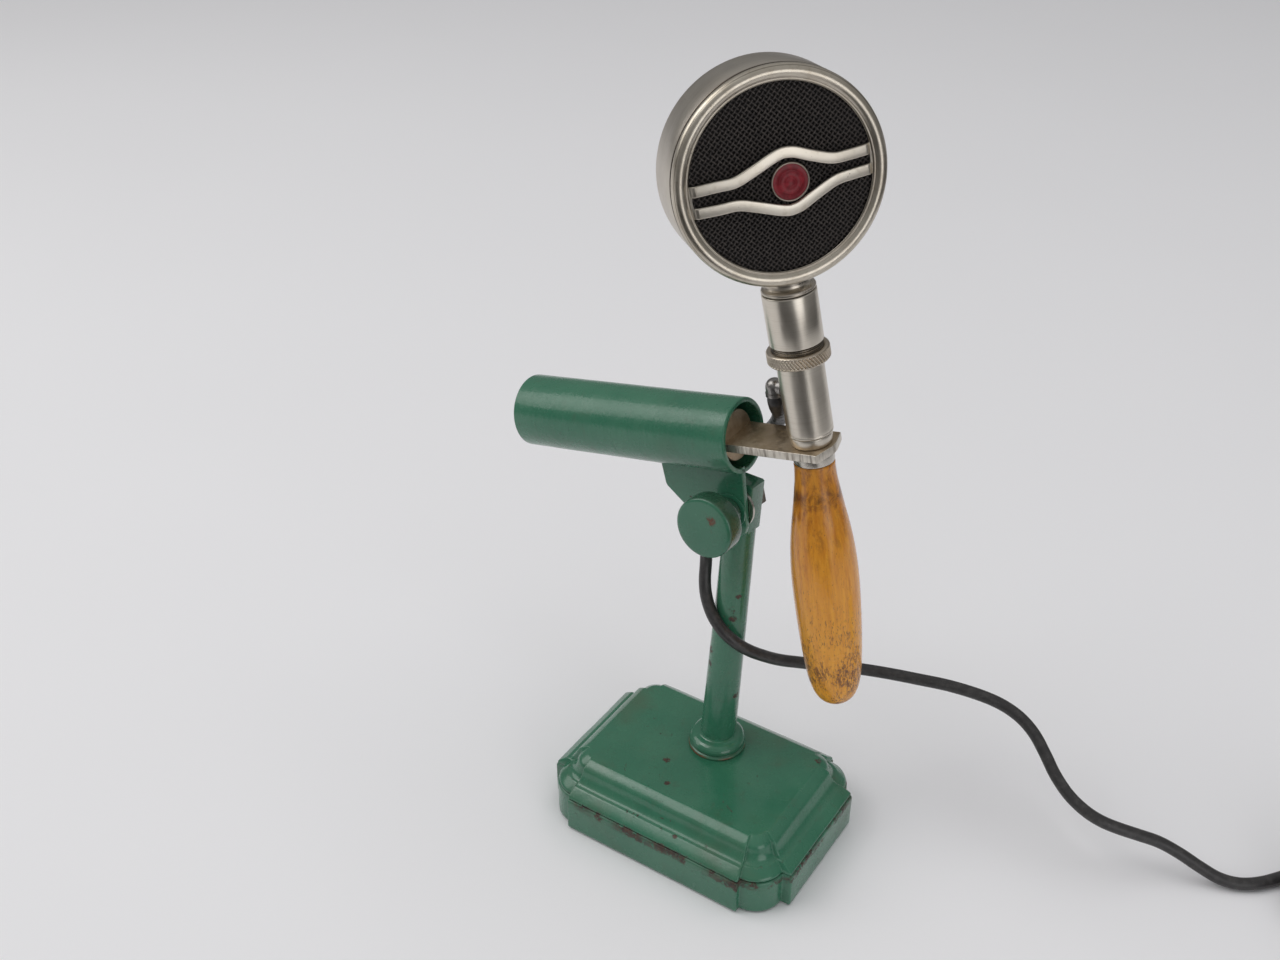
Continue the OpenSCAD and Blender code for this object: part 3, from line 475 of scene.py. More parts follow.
# Near-black backing behind the mesh: painted shade of the hollow head.
M["cloth"] = plain("mesh_cloth", (0.004, 0.004, 0.004), (0.010, 0.009, 0.009), 1500, 0.9)
M["tape"] = plain("tape", (0.16, 0.125, 0.085), (0.26, 0.21, 0.15), 1300, 0.85, 0.0, 0.0003)
M["plate_top"] = plate_top("plate_top")
M["plate_side"] = plate_side("plate_side")
M["red"] = red("red_enamel")
M["wood"] = wood("varnished_wood")
M["rubber"] = rubber("black_rubber")
M["dark"] = plain("dark_inside", (0.012, 0.014, 0.012), (0.03, 0.035, 0.03), 300, 0.8)


# --------------------------------------------------------------------------
# Mesh helpers (all lengths in mm)
# --------------------------------------------------------------------------
def fillet(p, r, n=3, closed=True, keep=()):
    """Rounds the corners of a 2-D polyline. keep holds the indices that stay sharp."""
    out = []
    k = len(p)
    for i in range(k):
        if (not closed and i in (0, k - 1)) or i in keep:
            out.append(tuple(p[i]))
            continue
        a, b, c = Vector(p[i - 1]), Vector(p[i]), Vector(p[(i + 1) % k])
        u, v = (a - b), (c - b)
        lu, lv = u.length, v.length
        if lu < 1e-6 or lv < 1e-6:
            continue
        u, v = u / lu, v / lv
        cosang = max(-1, min(1, u.dot(v)))
        half = math.acos(cosang) / 2
        if half > math.radians(84):
            out.append(tuple(b))
            continue
        t = min(r / math.tan(half), lu * 0.45, lv * 0.45)
        s, e = b + u * t, b + v * t
        for j in range(n + 1):
            q = j / n
            out.append(tuple(s * (1 - q) ** 2 + b * 2 * q * (1 - q) + e * q * q))
    return out


def make(name, verts, faces, mats, place, body, replaces=(), uvs=None, sharp=32, face_mats=None, smooth=True):
    me = bpy.data.meshes.new(name)
    me.from_pydata([(x * MM, y * MM, z * MM) for x, y, z in verts], [], faces)
    me.validate()
    for m in mats if isinstance(mats, (list, tuple)) else [mats]:
        me.materials.append(m)
    if face_mats:
        me.polygons.foreach_set("material_index", face_mats)
    if uvs:
        layer = me.uv_layers.new(name="UVMap")
        for poly in me.polygons:
            us = [uvs[me.loops[li].vertex_index] for li in poly.loop_indices]
            wrap = max(u for u, _ in us) - min(u for u, _ in us) > 0.5
            for li, (u, v) in zip(poly.loop_indices, us):
                layer.data[li].uv = (u + 1 if wrap and u < 0.5 else u, v)
    if smooth:
        me.polygons.foreach_set("use_smooth", [True] * len(me.polygons))
        me.set_sharp_from_angle(angle=math.radians(sharp))
    me.update()
    ob = bpy.data.objects.new(name, me)
    scene.collection.objects.link(ob)
    ob.matrix_world = place
    if body:
        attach(ob, body)
    if replaces:
        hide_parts(*replaces)
    return ob


def lathe_data(prof, seg=128, wob=None):
    """Revolves (radius, height) points about Z. A profile that starts and ends on the axis closes itself; any other is a closed ring."""
    open_ends = prof[0][0] < 1e-6 and prof[-1][0] < 1e-6
    verts, faces, uvs = [], [], []
    rings = []
    for i, (r, z) in enumerate(prof):
        if r < 1e-6:
            rings.append([len(verts)])
            verts.append((0, 0, z))
            uvs.append((0, z))
            continue
        ring = []
        for k in range(seg):
            a = 2 * math.pi * k / seg
            rr, zz = (r, z) if wob is None else wob(r, z, a)
            ring.append(len(verts))
            verts.append((rr * math.cos(a), rr * math.sin(a), zz))
            uvs.append((k / seg, z * MM * 10))
        rings.append(ring)
    n = len(rings)
    for i in range(n - 1 if open_ends else n):
        a, b = rings[i], rings[(i + 1) % n]
        for k in range(seg):
            k2 = (k + 1) % seg
            if len(a) == 1 and len(b) == 1:
                continue
            if len(a) == 1:
                faces.append((a[0], b[k2], b[k]))
            elif len(b) == 1:
                faces.append((a[k], a[k2], b[0]))
            else:
                faces.append((a[k], a[k2], b[k2], b[k]))
    # outward faces: flip if the profile runs the other way round
    area = sum(prof[i][0] * prof[(i + 1) % n][1] - prof[(i + 1) % n][0] * prof[i][1] for i in range(n))
    if area < 0:
        faces = [tuple(reversed(f)) for f in faces]
    return verts, faces, uvs


def lathe(name, prof, mat, place, body, replaces=(), seg=128, rad=0.0, n=3, sharp=32, wob=None, keep=()):
    if rad:
        open_ends = prof[0][0] < 1e-6 and prof[-1][0] < 1e-6
        prof = fillet(prof, rad, n, closed=not open_ends, keep=keep)
    v, f, uv = lathe_data(prof, seg, wob)
    return make(name, v, f, mat, place, body, replaces, uvs=None, sharp=sharp)


def catmull(p, n=6, closed=False):
    """Smooth curve through points of any dimension."""
    k = len(p)
    out = []
    for i in range(k if closed else k - 1):
        if closed:
            q = [Vector(p[(i + j - 1) % k]) for j in range(4)]
        else:
            q = [Vector(p[max(0, min(k - 1, i + j - 1))]) for j in range(4)]
            if i == 0:
                q[0] = q[1] * 2 - q[2]
            if i == k - 2:
                q[3] = q[2] * 2 - q[1]
        for j in range(n):
            t = j / n
            out.append(0.5 * (2 * q[1] + (q[2] - q[0]) * t + (2 * q[0] - 5 * q[1] + 4 * q[2] - q[3]) * t * t
                              + (3 * q[1] - q[0] - 3 * q[2] + q[3]) * t ** 3))
    if not closed:
        out.append(Vector(p[-1]))
    return out


def resample(pts, step):
    """Points a fixed distance apart along a polyline, ends kept."""
    out = [pts[0].copy()]
    left = step
    for a, b in zip(pts, pts[1:]):
        d = (b - a).length
        s = 0.0
        while d - s > left:
            s += left
            out.append(a.lerp(b, s / d))
            left = step
        left -= d - s
    if (out[-1] - pts[-1]).length > step * 0.3:
        out.append(pts[-1].copy())
    else:
        out[-1] = pts[-1].copy()
    return out


def tube_data(pts, radius, seg=16, start_cap=True, end_cap=True, squash=None):
    """Round tube along points; radius is a number or a function of the share of the length."""
    n = len(pts)
    tang = [(pts[min(i + 1, n - 1)] - pts[max(i - 1, 0)]).normalized() for i in range(n)]
    up = Vector((0.3, 0.5, 0.2)).cross(tang[0]).normalized()
    total = sum((b - a).length for a, b in zip(pts, pts[1:]))
    verts, faces, uvs = [], [], []
    run = 0.0
    for i in range(n):
        if i:
            run += (pts[i] - pts[i - 1]).length
            up = (up - up.dot(tang[i]) * tang[i]).normalized()
        side = tang[i].cross(up)
        r = radius(run / total, run) if callable(radius) else radius
        for k in range(seg):
            a = 2 * math.pi * k / seg
            verts.append(tuple(pts[i] + up * (math.cos(a) * r) + side * (math.sin(a) * r)))
            uvs.append((k / seg, run * MM * 10))
    for i in range(n - 1):
        for k in range(seg):
            k2 = (k + 1) % seg
            faces.append((i * seg + k, i * seg + k2, (i + 1) * seg + k2, (i + 1) * seg + k))
    if start_cap:
        faces.append(tuple(range(seg - 1, -1, -1)))
    if end_cap:
        faces.append(tuple((n - 1) * seg + k for k in range(seg)))
    return verts, faces, uvs, total


def prism(name, outline, y0, y1, mats, place, body, replaces=(), bevel=0.35, axis="z", sharp=30, side_mat=0, cuts=()):
    """A flat plate: outline in 2-D, from height y0 to y1, with rounded edges, built ring by ring."""
    inset = []
    k = len(outline)
    for i in range(k):
        a, b, c = Vector(outline[i - 1]), Vector(outline[i]), Vector(outline[(i + 1) % k])
        u, v = (b - a).normalized(), (c - b).normalized()
        nu, nv = Vector((-u.y, u.x)), Vector((-v.y, v.x))
        w = (nu + nv)
        w = w / max(0.2, w.length_squared) * 2
        inset.append(w)
    rings = []
    steps = [(1.0, 0.0), (0.62, 0.08), (0.3, 0.3), (0.08, 0.62), (0.0, 1.0)]
    for s, h in steps:
        rings.append(([Vector(outline[i]) + inset[i] * bevel * s for i in range(k)], y0 + bevel * h))
    for s, h in reversed(steps):
        rings.append(([Vector(outline[i]) + inset[i] * bevel * s for i in range(k)], y1 - bevel * h))
    verts, faces, fm = [], [], []
    for pts, z in rings:
        verts += [(p.x, p.y, z) for p in pts]
    for r in range(len(rings) - 1):
        for i in range(k):
            j = (i + 1) % k
            faces.append((r * k + i, r * k + j, (r + 1) * k + j, (r + 1) * k + i))
            fm.append(side_mat)
    faces.append(tuple(range(k - 1, -1, -1)))
    fm.append(0)
    faces.append(tuple((len(rings) - 1) * k + i for i in range(k)))
    fm.append(0)
    return make(name, verts, faces, mats, place, body, replaces, sharp=sharp, face_mats=fm)


# --------------------------------------------------------------------------
# Cord: strain relief, the visible run, the coil and the tail to the plug
# --------------------------------------------------------------------------
BOOT = [(12.27, 23.32, 197.05), (12.15, 24.3, 193.8), (11.7, 26.6, 190.4), (10.8, 29.8, 187.2), (9.5, 33.2, 183.6), (7.6, 36.4, 179),
        (4.5, 39.2, 173.6), (0.2, 41, 167.4), (-4.1, 41.5, 160.4), (-8.1, 41.5, 153.5)]
TOP = [(-8.1, 41.5, 153.5), (-12, 41, 146), (-15, 38.6, 139.2), (-16.4, 34, 131.8), (-16, 28.4, 123.6)]
RUN = [(-14.2, 22.6, 118), (-12, 18.4, 113.6), (-10.6, 15.6, 108.6), (-8.8, 13.4, 104.2), (-6, 11.2, 100.4),
       (-2.2, 9.2, 96.8), (2.6, 8.2, 93), (7.4, 9.2, 89), (11.4, 12.6, 84.4), (15.2, 18.4, 79), (19.4, 26.6, 72.6),
       (25, 36, 67), (33, 46.2, 61.8), (42.6, 54.6, 58.6), (54, 59.4, 58), (66, 63.4, 57.6), (78, 67.6, 56.8),
       (90, 71.2, 55), (99, 73.2, 52.8), (107.4, 73.6, 49.6), (114.8, 72.4, 45), (121.4, 69.4, 39.6), (128, 65.4, 34.6),
       (135.6, 62.2, 30.2), (143.4, 60.8, 27), (150.4, 61.4, 24.6), (157.4, 64.2, 22), (164.6, 68.4, 18.8), (172, 72.8, 15.2),
       (180.2, 75.4, 11.2), (188.6, 76.8, 7.2), (196.6, 78.4, 4), (204.2, 81.4, 2.8), (211, 86.6, 2.8), (217, 93.8, 2.8),
       (221.6, 100.2, 2.8)]
COIL_AT = (256.5, 98.0)
RADII = (32.5, 27.5, 22.5)
IN_ANGLE = 166.0


def coil_path():
    """Two layers of three round turns: in towards the middle on the floor, then out again on top.
    Each turn moves over before it comes back to where the turn next to it began, so that none cuts another."""
    def ease(q):
        q = max(0.0, min(1.0, q))
        return q * q * (3 - 2 * q)

    pts = []
    end = 5 * 360 + 276
    step = 6.0
    deg = 0.0
    while deg <= end + 0.1:
        r = RADII[0] - 5.0 * (ease((deg - 306) / 54) + ease((deg - 666) / 54)) + 5.0 * (ease((deg - 1324) / 52) + ease((deg - 1684) / 52))
        z = 2.8 + 5.0 * ease((deg - 986) / 62) + 5.0 * ease((deg - 2032) / 41)
        a = math.radians(IN_ANGLE - deg)
        pts.append((COIL_AT[0] + r * math.cos(a), COIL_AT[1] + r * math.sin(a), z))
        deg += step
    return pts


TAIL = [(236.5, 72.4, 12.9), (229.6, 79.8, 13.0), (225.6, 87.4, 13.3), (224, 94.6, 13.9), (224.4, 101.4, 14.6), (226.6, 106.8, 16),
        (230, 111, 17.6), (234.2, 114.2, 18.9), (238.8, 116, 19.6)]
PLUG = move(246.1, 118, 19.6) @ rz(15) @ ALONG_X

coil_pts = coil_path()
CORD_D = 5.0
path = catmull([Vector(p) for p in TOP + RUN + coil_pts + TAIL + [(243.0, 117.17, 19.6)]], 5)
path = resample(path, 1.6)
v, f, uv, cord_len = tube_data(path, CORD_D / 2, 20)
cord = make("cord", v, f, M["rubber"], WORLD, None, uvs=uv, sharp=60)
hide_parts("cord_top", "cord_run", "cord_coil", "cord_tail")
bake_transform(cord)

bpath = resample(catmull([Vector(p) for p in [(12.3, 23.1, 199.0)] + BOOT], 6), 1.0)


def boot_radius(q, run):
    r = 3.25 - 0.65 * q
    if run < 3.2:
        r = 2.15
    # moulded rings round the upper half
    if 8 < run < 40:
        r += 0.16 * (0.5 + 0.5 * math.cos((run - 8) / 4.0 * 2 * math.pi)) * (1 - (run - 8) / 40)
    return r


v, f, uv, boot_len = tube_data(bpath, boot_radius, 24)
boot = make("cord_strain_relief", v, f, M["rubber"], WORLD, None, uvs=uv, sharp=60)
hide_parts("cord_boot")
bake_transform(boot)

# plug at the far end
plug_shell = lathe("plug_sleeve", [(5.2, 0.05), (6.6, 1), (8, 3), (8.5, 4.4), (8.5, 5.0), (9, 5.4), (9, 7.2), (8.75, 7.6), (8.75, 20.4), (9, 20.8), (9, 27),
                                   (8.6, 27.5), (8.0, 27.5), (8.0, 14.2), (2.6, 14.0), (2.6, 0.05)],
                   M["nickel_small"], PLUG, "stand", ["plug_shell"], rad=0.25)
plug_boot = lathe("plug_relief", [(2.52, -7.6), (3.2, -7.6), (3.5, -6.6), (3.2, -5.8), (3.9, -4.8), (3.6, -4.0), (4.3, -3.0), (4.0, -2.2), (4.7, -1.0), (4.7, 0.0), (2.52, 0.0)],
                  M["rubber"], PLUG, "stand", ["plug_boot"], rad=0.3)

tie_at = Matrix.Translation((COIL_AT[0] * MM, COIL_AT[1] * MM, 0)) @ rz(-60)


def tie():
    """A waxed tape wrapped three times round the coil."""
    lo, hi, bot, top = 19.75, 35.25, 0.15, 10.65
    sect = fillet([(lo, bot), (hi, bot), (hi, top), (lo, top)], 2.2, 5)
    sect = catmull([Vector(p) for p in sect], 2, closed=True)
    verts, faces = [], []
    k = len(sect)
    for w, (off, width) in enumerate([(-1.9, 1.5), (0.0, 1.7), (1.85, 1.5)]):
        base = len(verts)
        cross = [(-width / 2, 0.0), (-width / 2 + 0.2, 0.28), (0, 0.36), (width / 2 - 0.2, 0.28), (width / 2, 0.0), (width / 2 - 0.1, -0.12), (-width / 2 + 0.1, -0.12)]
        for i, p in enumerate(sect):
            q, r = sect[(i + 1) % k], sect[i - 1]
            t = (q - r).normalized()
            nrm = Vector((t.y, -t.x))
            wave = 0.25 * math.sin(i * 0.7 + w * 2)
            for a, b in cross:
                o = p + nrm * b
                verts.append((o.x, a + off + wave, o.y))
        c = len(cross)
        for i in range(k):
            for j in range(c):
                faces.append((base + i * c + j, base + ((i + 1) % k) * c + j, base + ((i + 1) % k) * c + (j + 1) % c, base + i * c + (j + 1) % c))
    make("coil_tie", verts, faces, M["tape"], tie_at, "stand", ["cord_tie"], sharp=50)


tie()


# --------------------------------------------------------------------------
# Base: two stacked castings with scooped corners
# --------------------------------------------------------------------------
def corner(d, n=10):
    bx, by = 57.4 - d, 41.4 - d
    xf, ys = 41 - 0.2 * d, 26.5 - 0.33 * d
    a, b = bx - (4 - 0.2 * d) - xf, by - (2.6 - 0.11 * d) - ys
    arc = [(xf + a * math.cos(math.pi / 2 * k / n), ys + b * math.sin(math.pi / 2 * k / n)) for k in range(1, n)]
    return [(bx, ys), (xf + a, ys)] + arc + [(xf, ys + b), (xf, by)]


def outline(d, r=0.7):
    c = corner(d)
    k = len(c)
    loop = c + [(-x, y) for x, y in reversed(c)] + [(-x, -y) for x, y in c] + [(x, -y) for x, y in reversed(c)]
    out = []
    m = len(loop)
    for i, p in enumerate(loop):
        j = i % k
        if j in (0, 1, k - 2, k - 1):
            a, b, q = Vector(loop[i - 1]), Vector(p), Vector(loop[(i + 1) % m])
            u, v = (a - b), (q - b)
            t = min(r, u.length * 0.4, v.length * 0.4)
            s, e = b + u.normalized() * t, b + v.normalized() * t
            for w in range(5):
                z = w / 4
                out.append(s * (1 - z) ** 2 + b * 2 * z * (1 - z) + e * z * z)
        else:
            out.append(Vector(p))
    # long straight sides get points of their own
    full = []
    m = len(out)
    for i in range(m):
        a, b = out[i], out[(i + 1) % m]
        full.append(a)
        if i % (m // 4) == m // 4 - 1:
            n = 18 if (i // (m // 4)) % 2 == 0 else 14
            full += [a.lerp(b, (j + 1) / (n + 1)) for j in range(n)]
    return full


def stack(name, section, mat, body, replaces, dent=0.18, sharp=40, r=0.7, bottom=True, top_rings=6, inner=None):
    """Outlines stacked by (inset, height), closed above and below."""
    verts, faces = [], []
    n = len(outline(0, r))
    for d, z in section:
        for p in outline(d, r):
            w = noise.noise(Vector((p.x * 0.055, p.y * 0.055, z * 0.07 + 3))) + 0.4 * noise.noise(Vector((p.x * 0.2, p.y * 0.2, z * 0.2)))
            q = Vector((p.x, p.y, z)) + Vector((p.x, p.y, 0)).normalized() * w * dent
            verts.append(tuple(q))
    for i in range(len(section) - 1):
        for k in range(n):
            k2 = (k + 1) % n
            faces.append((i * n + k, i * n + k2, (i + 1) * n + k2, (i + 1) * n + k))
    last = (len(section) - 1) * n
    ztop = section[-1][1]
    prev = list(range(last, last + n))
    for t in range(1, top_rings):
        s = 1 - t / top_rings
        base = len(verts)
        for p in prev if t == 0 else range(last, last + n):
            x, y, z = verts[p]
            w = 0.12 * noise.noise(Vector((x * s * 0.06, y * s * 0.06, 9.0)))
            verts.append((x * s, y * s, ztop + w * min(1, t / 1.5)))
        cur = list(range(base, base + n))
        for k in range(n):
            k2 = (k + 1) % n
            faces.append((prev[k], prev[k2], cur[k2], cur[k]))
        prev = cur
    c = len(verts)
    verts.append((0, 0, ztop))
    for k in range(n):
        faces.append((prev[k], prev[(k + 1) % n], c))
    if bottom:
        faces.append(tuple(range(n - 1, -1, -1)))
    return make(name, verts, faces, mat, WORLD, body, replaces, sharp=sharp)


P_H, B_H = 16.5, 30.0
plinth = [(5.0, 0.45), (1.2, 0.45), (0.35, 0.6), (0.05, 1.1), (0.0, 2.0), (0.0, 5), (0.0, 9), (0.0, 12.5), (0.0, 14.9), (0.06, 15.7), (0.25, 16.15), (0.6, 16.37),
          (1.2, 16.47), (3.0, 16.5)]
stack("base_lower_casting", plinth, M["base"], "stand", ["base_plinth"], dent=0.16, top_rings=3)
cover = [(3.2, P_H + 0.05), (1.7, P_H + 0.05), (1.0, P_H + 0.2), (0.7, P_H + 0.55), (0.62, P_H + 1.0), (0.8, P_H + 1.4), (1.4, P_H + 1.95), (2.4, P_H + 2.75), (3.4, P_H + 3.5),
         (4.2, P_H + 4.08), (4.6, P_H + 4.36), (4.9, P_H + 4.48), (5.3, P_H + 4.55), (5.9, P_H + 4.72), (6.6, P_H + 5.15), (7.3, P_H + 5.8), (7.9, P_H + 6.6), (8.5, P_H + 7.7),
         (9.0, P_H + 8.8), (9.35, P_H + 9.8), (9.7, P_H + 10.5), (10.15, B_H - 2.45), (10.8, B_H - 1.9), (11.6, B_H - 1.33), (12.4, B_H - 0.8), (13.1, B_H - 0.36), (13.6, B_H - 0.1),
         (13.95, B_H + 0.04), (14.35, B_H + 0.05), (15.0, B_H)]
stack("base_upper_casting", cover, M["base"], "stand", ["base_cover"], dent=0.16)

# --------------------------------------------------------------------------
# Post, foot ring, hinge
# --------------------------------------------------------------------------
lathe("post_foot_ring", [(6.4, 0), (11.7, 0), (12.0, 0.3), (12.0, 0.8), (11.6, 1.25), (11.1, 1.5), (11.15, 1.8), (11.55, 2.3), (11.75, 3.0), (11.65, 3.8), (11.25, 4.6), (10.6, 5.3), (9.7, 5.9),
                         (8.8, 6.25), (8.0, 6.45), (7.5, 6.75), (6.4, 6.9)], M["flange"], move(0.4, 10.7, 30.02), "stand", ["post_flange"], rad=0.35,
      wob=lambda r, z, a: (r + 0.10 * noise.noise(Vector((math.cos(a) * 2, math.sin(a) * 2, z * 0.3))), z))


def post():
    """Tapered post whose flattened, round-topped head carries the hinge."""
    seg = 72
    verts, faces = [], []
    zs = [0.3, 2, 6, 14, 24, 34, 44, 54, 64, 74, 84, 92, 98, 101, 103.5, 105.2, 106.4, 106.9]
    for z in zs:
        r = 7.45 + (6.3 - 7.45) * (z - 0.95) / 107.2
        for k in range(seg):
            a = 2 * math.pi * k / seg
            w = 0.09 * noise.noise(Vector((math.cos(a) * 1.6, math.sin(a) * 1.6, z * 0.06)))
            verts.append(((r + w) * math.cos(a), (r + w) * math.sin(a), z))
    for i in range(len(zs) - 1):
        for k in range(seg):
            k2 = (k + 1) % seg
            faces.append((i * seg + k, i * seg + k2, (i + 1) * seg + k2, (i + 1) * seg + k))
    faces.append(tuple((len(zs) - 1) * seg + k for k in range(seg)))
    faces.append(tuple(range(seg - 1, -1, -1)))
    return make("post_shaft", verts, faces, M["post"], STAND, "stand", ["post"], sharp=40)


post()
lug = [(-6.2, -10.4), (-5.0, -11.2), (5.0, -11.2), (6.2, -10.4)]
for k in range(25):
    a = math.radians(8 + 164 * k / 24)
    lug.append((max(-6.2, min(6.2, 11.7 * math.cos(a))), min(10.25, 11.7 * math.sin(a))))
lug2 = []
for p in lug:
    if not lug2 or (Vector(p) - Vector(lug2[-1])).length > 0.15:
        lug2.append(p)
# outline in x and z; the plate's own Z runs along the hinge
prism("post_head", [(x, -z) for x, z in reversed(lug2)], -4.8, 4.8, [M["post"]], HINGE @ ALONG_Y, "stand", bevel=0.7, sharp=40)

lathe("clamp_knob_turned", [(0, 0.1), (6, 0.08), (10.6, 0.12), (11.6, 0.3), (12.0, 0.8), (12.1, 1.5), (12.1, 7.4), (11.95, 8.0), (11.4, 8.4), (10.4, 8.6), (6.9, 8.7), (6.45, 9.2),
                            (6.4, 10), (6.4, 16.6), (6.2, 17.3), (5.6, 17.6), (3.06, 17.6), (3.06, 4.6), (0, 4.5)],
      M["knob"], HINGE @ move(0, -28.1, 0) @ ALONG_Y, "knob", ["clamp_knob"], seg=144, sharp=50)

bracket = [(-30.2, 18.0), (-30.1, 15.4), (-29.0, 7.4), (-28.4, 6.2), (-12.4, -8.4), (-10.0, -10.4), (-7.0, -11.7), (-3.0, -12.2), (0.5, -12.1), (3.6, -10.9), (5.6, -9.0),
           (6.5, -6.6), (6.9, 3.0), (6.9, 18.0)]
prism("tube_bracket", [(x, -z) for x, z in reversed(fillet(bracket, 1.2, 3, keep=(0, 13)))], -9.1, -6.5, [M["bracket"]], ARM @ ALONG_Y, "arm", ["bracket_plate"], bevel=0.4, sharp=40)

# --------------------------------------------------------------------------
# Tube arm
# --------------------------------------------------------------------------
lathe("arm_tube_shell", [(12.5, -101), (14.2, -101), (14.5, -100.6), (14.5, -80), (14.5, -60), (14.5, -40), (14.5, -20), (14.5, -0.5), (14.2, 0), (12.7, 0), (12.5, -0.3), (12.5, -20), (12.5, -60)],
      M["tube"], TUBE @ ALONG_X, "arm", ["arm_tube"], rad=0.3, seg=160, keep=(3, 4, 5, 6, 11, 12),
      wob=lambda r, z, a: (r + 0.05 * noise.noise(Vector((math.cos(a) * 1.3, math.sin(a) * 1.3, z * 0.05))), z))

# --------------------------------------------------------------------------
# Holder: rod and plate
# --------------------------------------------------------------------------
lathe("holder_rod", [(0, -57.3 - 3 + 0.3), (9.4, -60), (9.85, -59.5), (9.85, -3.2), (9.6, -2.75), (0, -2.7)], M["plate_top"], TUBE @ rx(8) @ ALONG_X, "microphone", ["holder"], rad=0.2)
plate = [(-3.0, -9.55), (35.8, -9.55), (38.2, -1.0), (38.0, 2.0), (35.8, 9.55), (-3.0, 9.55)]
prism("holder_plate", fillet(plate, 0.5, 3), -2.2, 1.0, [M["plate_top"], M["plate_side"]], TUBE @ rx(8), "microphone", bevel=0.22, side_mat=1, sharp=40)

# --------------------------------------------------------------------------
# Microphone, lower half
# --------------------------------------------------------------------------
lathe("socket_end_plug", [(3.1, 1.02), (6.6, 1.02), (7.1, 1.2), (7.45, 1.7), (7.7, 2.6), (7.85, 3.6), (7.95, 4.6), (7.95, 5.3), (7.3, 5.4), (7.0, 5.5), (7.0, 11), (3.1, 11)],
      M["nickel_turned"], MIC, "microphone", ["lower_plug"], rad=0.15)
lathe("lower_sleeve_turned", [(7.1, 5.5), (7.9, 5.5), (8.2, 5.62), (8.38, 5.9), (8.42, 6.3), (8.3, 6.55), (8.42, 6.8), (8.45, 8), (8.45, 20), (8.45, 35.6), (8.6, 35.8), (8.9, 35.8), (8.9, 36.8), (7.1, 36.8)],
      M["nickel_turned"], MIC, "microphone", ["lower_sleeve"], rad=0.1, seg=160)


def knurl():
    """Coupling nut with a slanted knurl cut into its rim."""
    seg = 728
    prof = [(8.6, 34.0), (10.5, 34.0), (10.9, 34.2), (11.15, 34.5)]
    rim = [34.7 + 0.2 * i for i in range(19)]
    tail = [(11.1, 38.6), (10.8, 38.85), (10.3, 39.0), (9.6, 39.0), (9.1, 38.6), (9.1, 35.4), (8.6, 35.3)]
    pts = [(r, z, 0) for r, z in prof] + [(11.3, z, 1) for z in rim] + [(r, z, 0) for r, z in tail]
    verts, faces = [], []
    for r, z, cut in pts:
        for k in range(seg):
            a = 2 * math.pi * k / seg
            rr = r
            if cut:
                e = min(1.0, min(z - 34.6, 38.4 - z) / 0.35)
                t1 = abs(((a / (2 * math.pi) * 52 + z * 0.5) % 1.0) * 2 - 1)
                t2 = abs(((a / (2 * math.pi) * 52 - z * 0.5) % 1.0) * 2 - 1)
                rr = r - 0.60 * e * max(0, 1 - t1 * 1.35) - 0.12 * e * max(0, 1 - t2 * 2.2)
            verts.append((rr * math.cos(a), rr * math.sin(a), z))
    n = len(pts)
    for i in range(n):
        j = (i + 1) % n
        for k in range(seg):
            k2 = (k + 1) % seg
            faces.append((i * seg + k, i * seg + k2, j * seg + k2, j * seg + k))
    make("coupling_nut_knurled", verts, faces, M["nickel_nut"], MIC, "coupling_nut", ["union_nut"], sharp=50)


knurl()

# --------------------------------------------------------------------------
# Microphone, upper half
# --------------------------------------------------------------------------
thread = []
for k in range(5):
    z = 37.4 + 0.72 * k
    thread += [(8.72, z - 0.1), (9.1, z + 0.12), (9.18, z + 0.24), (9.1, z + 0.36), (8.72, z + 0.55)]
lathe("upper_sleeve_turned", [(7.7, 36.9), (8.7, 36.95)] + thread + [(8.72, 41.0), (9.3, 41.05), (9.55, 41.2), (9.65, 41.5), (9.65, 50), (9.65, 59.6), (9.58, 59.9), (9.4, 60.08), (7.7, 60.1)],
      M["nickel_turned"], MIC, "head", ["upper_sleeve"], seg=160, sharp=40)
lathe("neck_turned", [(3.6, 55), (7.6, 55), (7.6, 60.25), (8.9, 60.3), (9.35, 60.5), (9.6, 60.95), (9.6, 61.35), (9.35, 61.8), (8.9, 62.1), (8.35, 62.4), (7.9, 62.95), (7.7, 63.7), (7.75, 64.5), (8.0, 65.3),
                      (8.5, 66.2), (9.1, 67.0), (9.6, 67.6), (9.6, 68.6), (3.6, 68.6)], M["nickel_neck"], MIC, "head", ["neck"], rad=0.12, seg=128)
lathe("head_drum", [(34.9, -9.3), (35.7, -9.3), (36.1, -9.1), (36.3, -8.7), (36.3, 0), (36.3, 9.2), (36.22, 10.2), (35.95, 11.2), (35.4, 12.15), (34.6, 12.9), (33.5, 13.3), (32.2, 13.5), (27, 13.75), (22, 13.98), (10, 14.4), (0, 14.5),
                    (0, 13.2), (31.5, 12.2), (34.0, 11.4), (34.9, 9.4)], M["nickel_drum"], HEAD @ ALONG_Y, "head", ["head_shell"], seg=192, sharp=50)
lathe("head_rim", [(34.2, -4), (34.95, -4), (34.95, -9.35), (35.4, -9.4), (35.85, -9.62), (36.15, -9.95), (36.3, -10.4), (36.33, -10.9), (36.22, -11.4), (35.98, -12.0), (35.6, -12.55), (35.1, -12.98), (34.5, -13.26), (33.9, -13.36),
                   (33.3, -13.3), (32.75, -13.08), (32.3, -12.78), (32.0, -12.5), (31.85, -12.42), (31.6, -12.5), (31.3, -12.48), (31.05, -12.32), (30.9, -12.12), (31.2, -12.05), (34.2, -12.05)],
      M["nickel_rim"], HEAD @ ALONG_Y, "head", ["bezel"], seg=192, sharp=60)


def mesh_front(r):
    """Height of the slightly domed mesh at a radius, along the head's axis."""
    return -11.95 + r * r / (2 * 511.6)


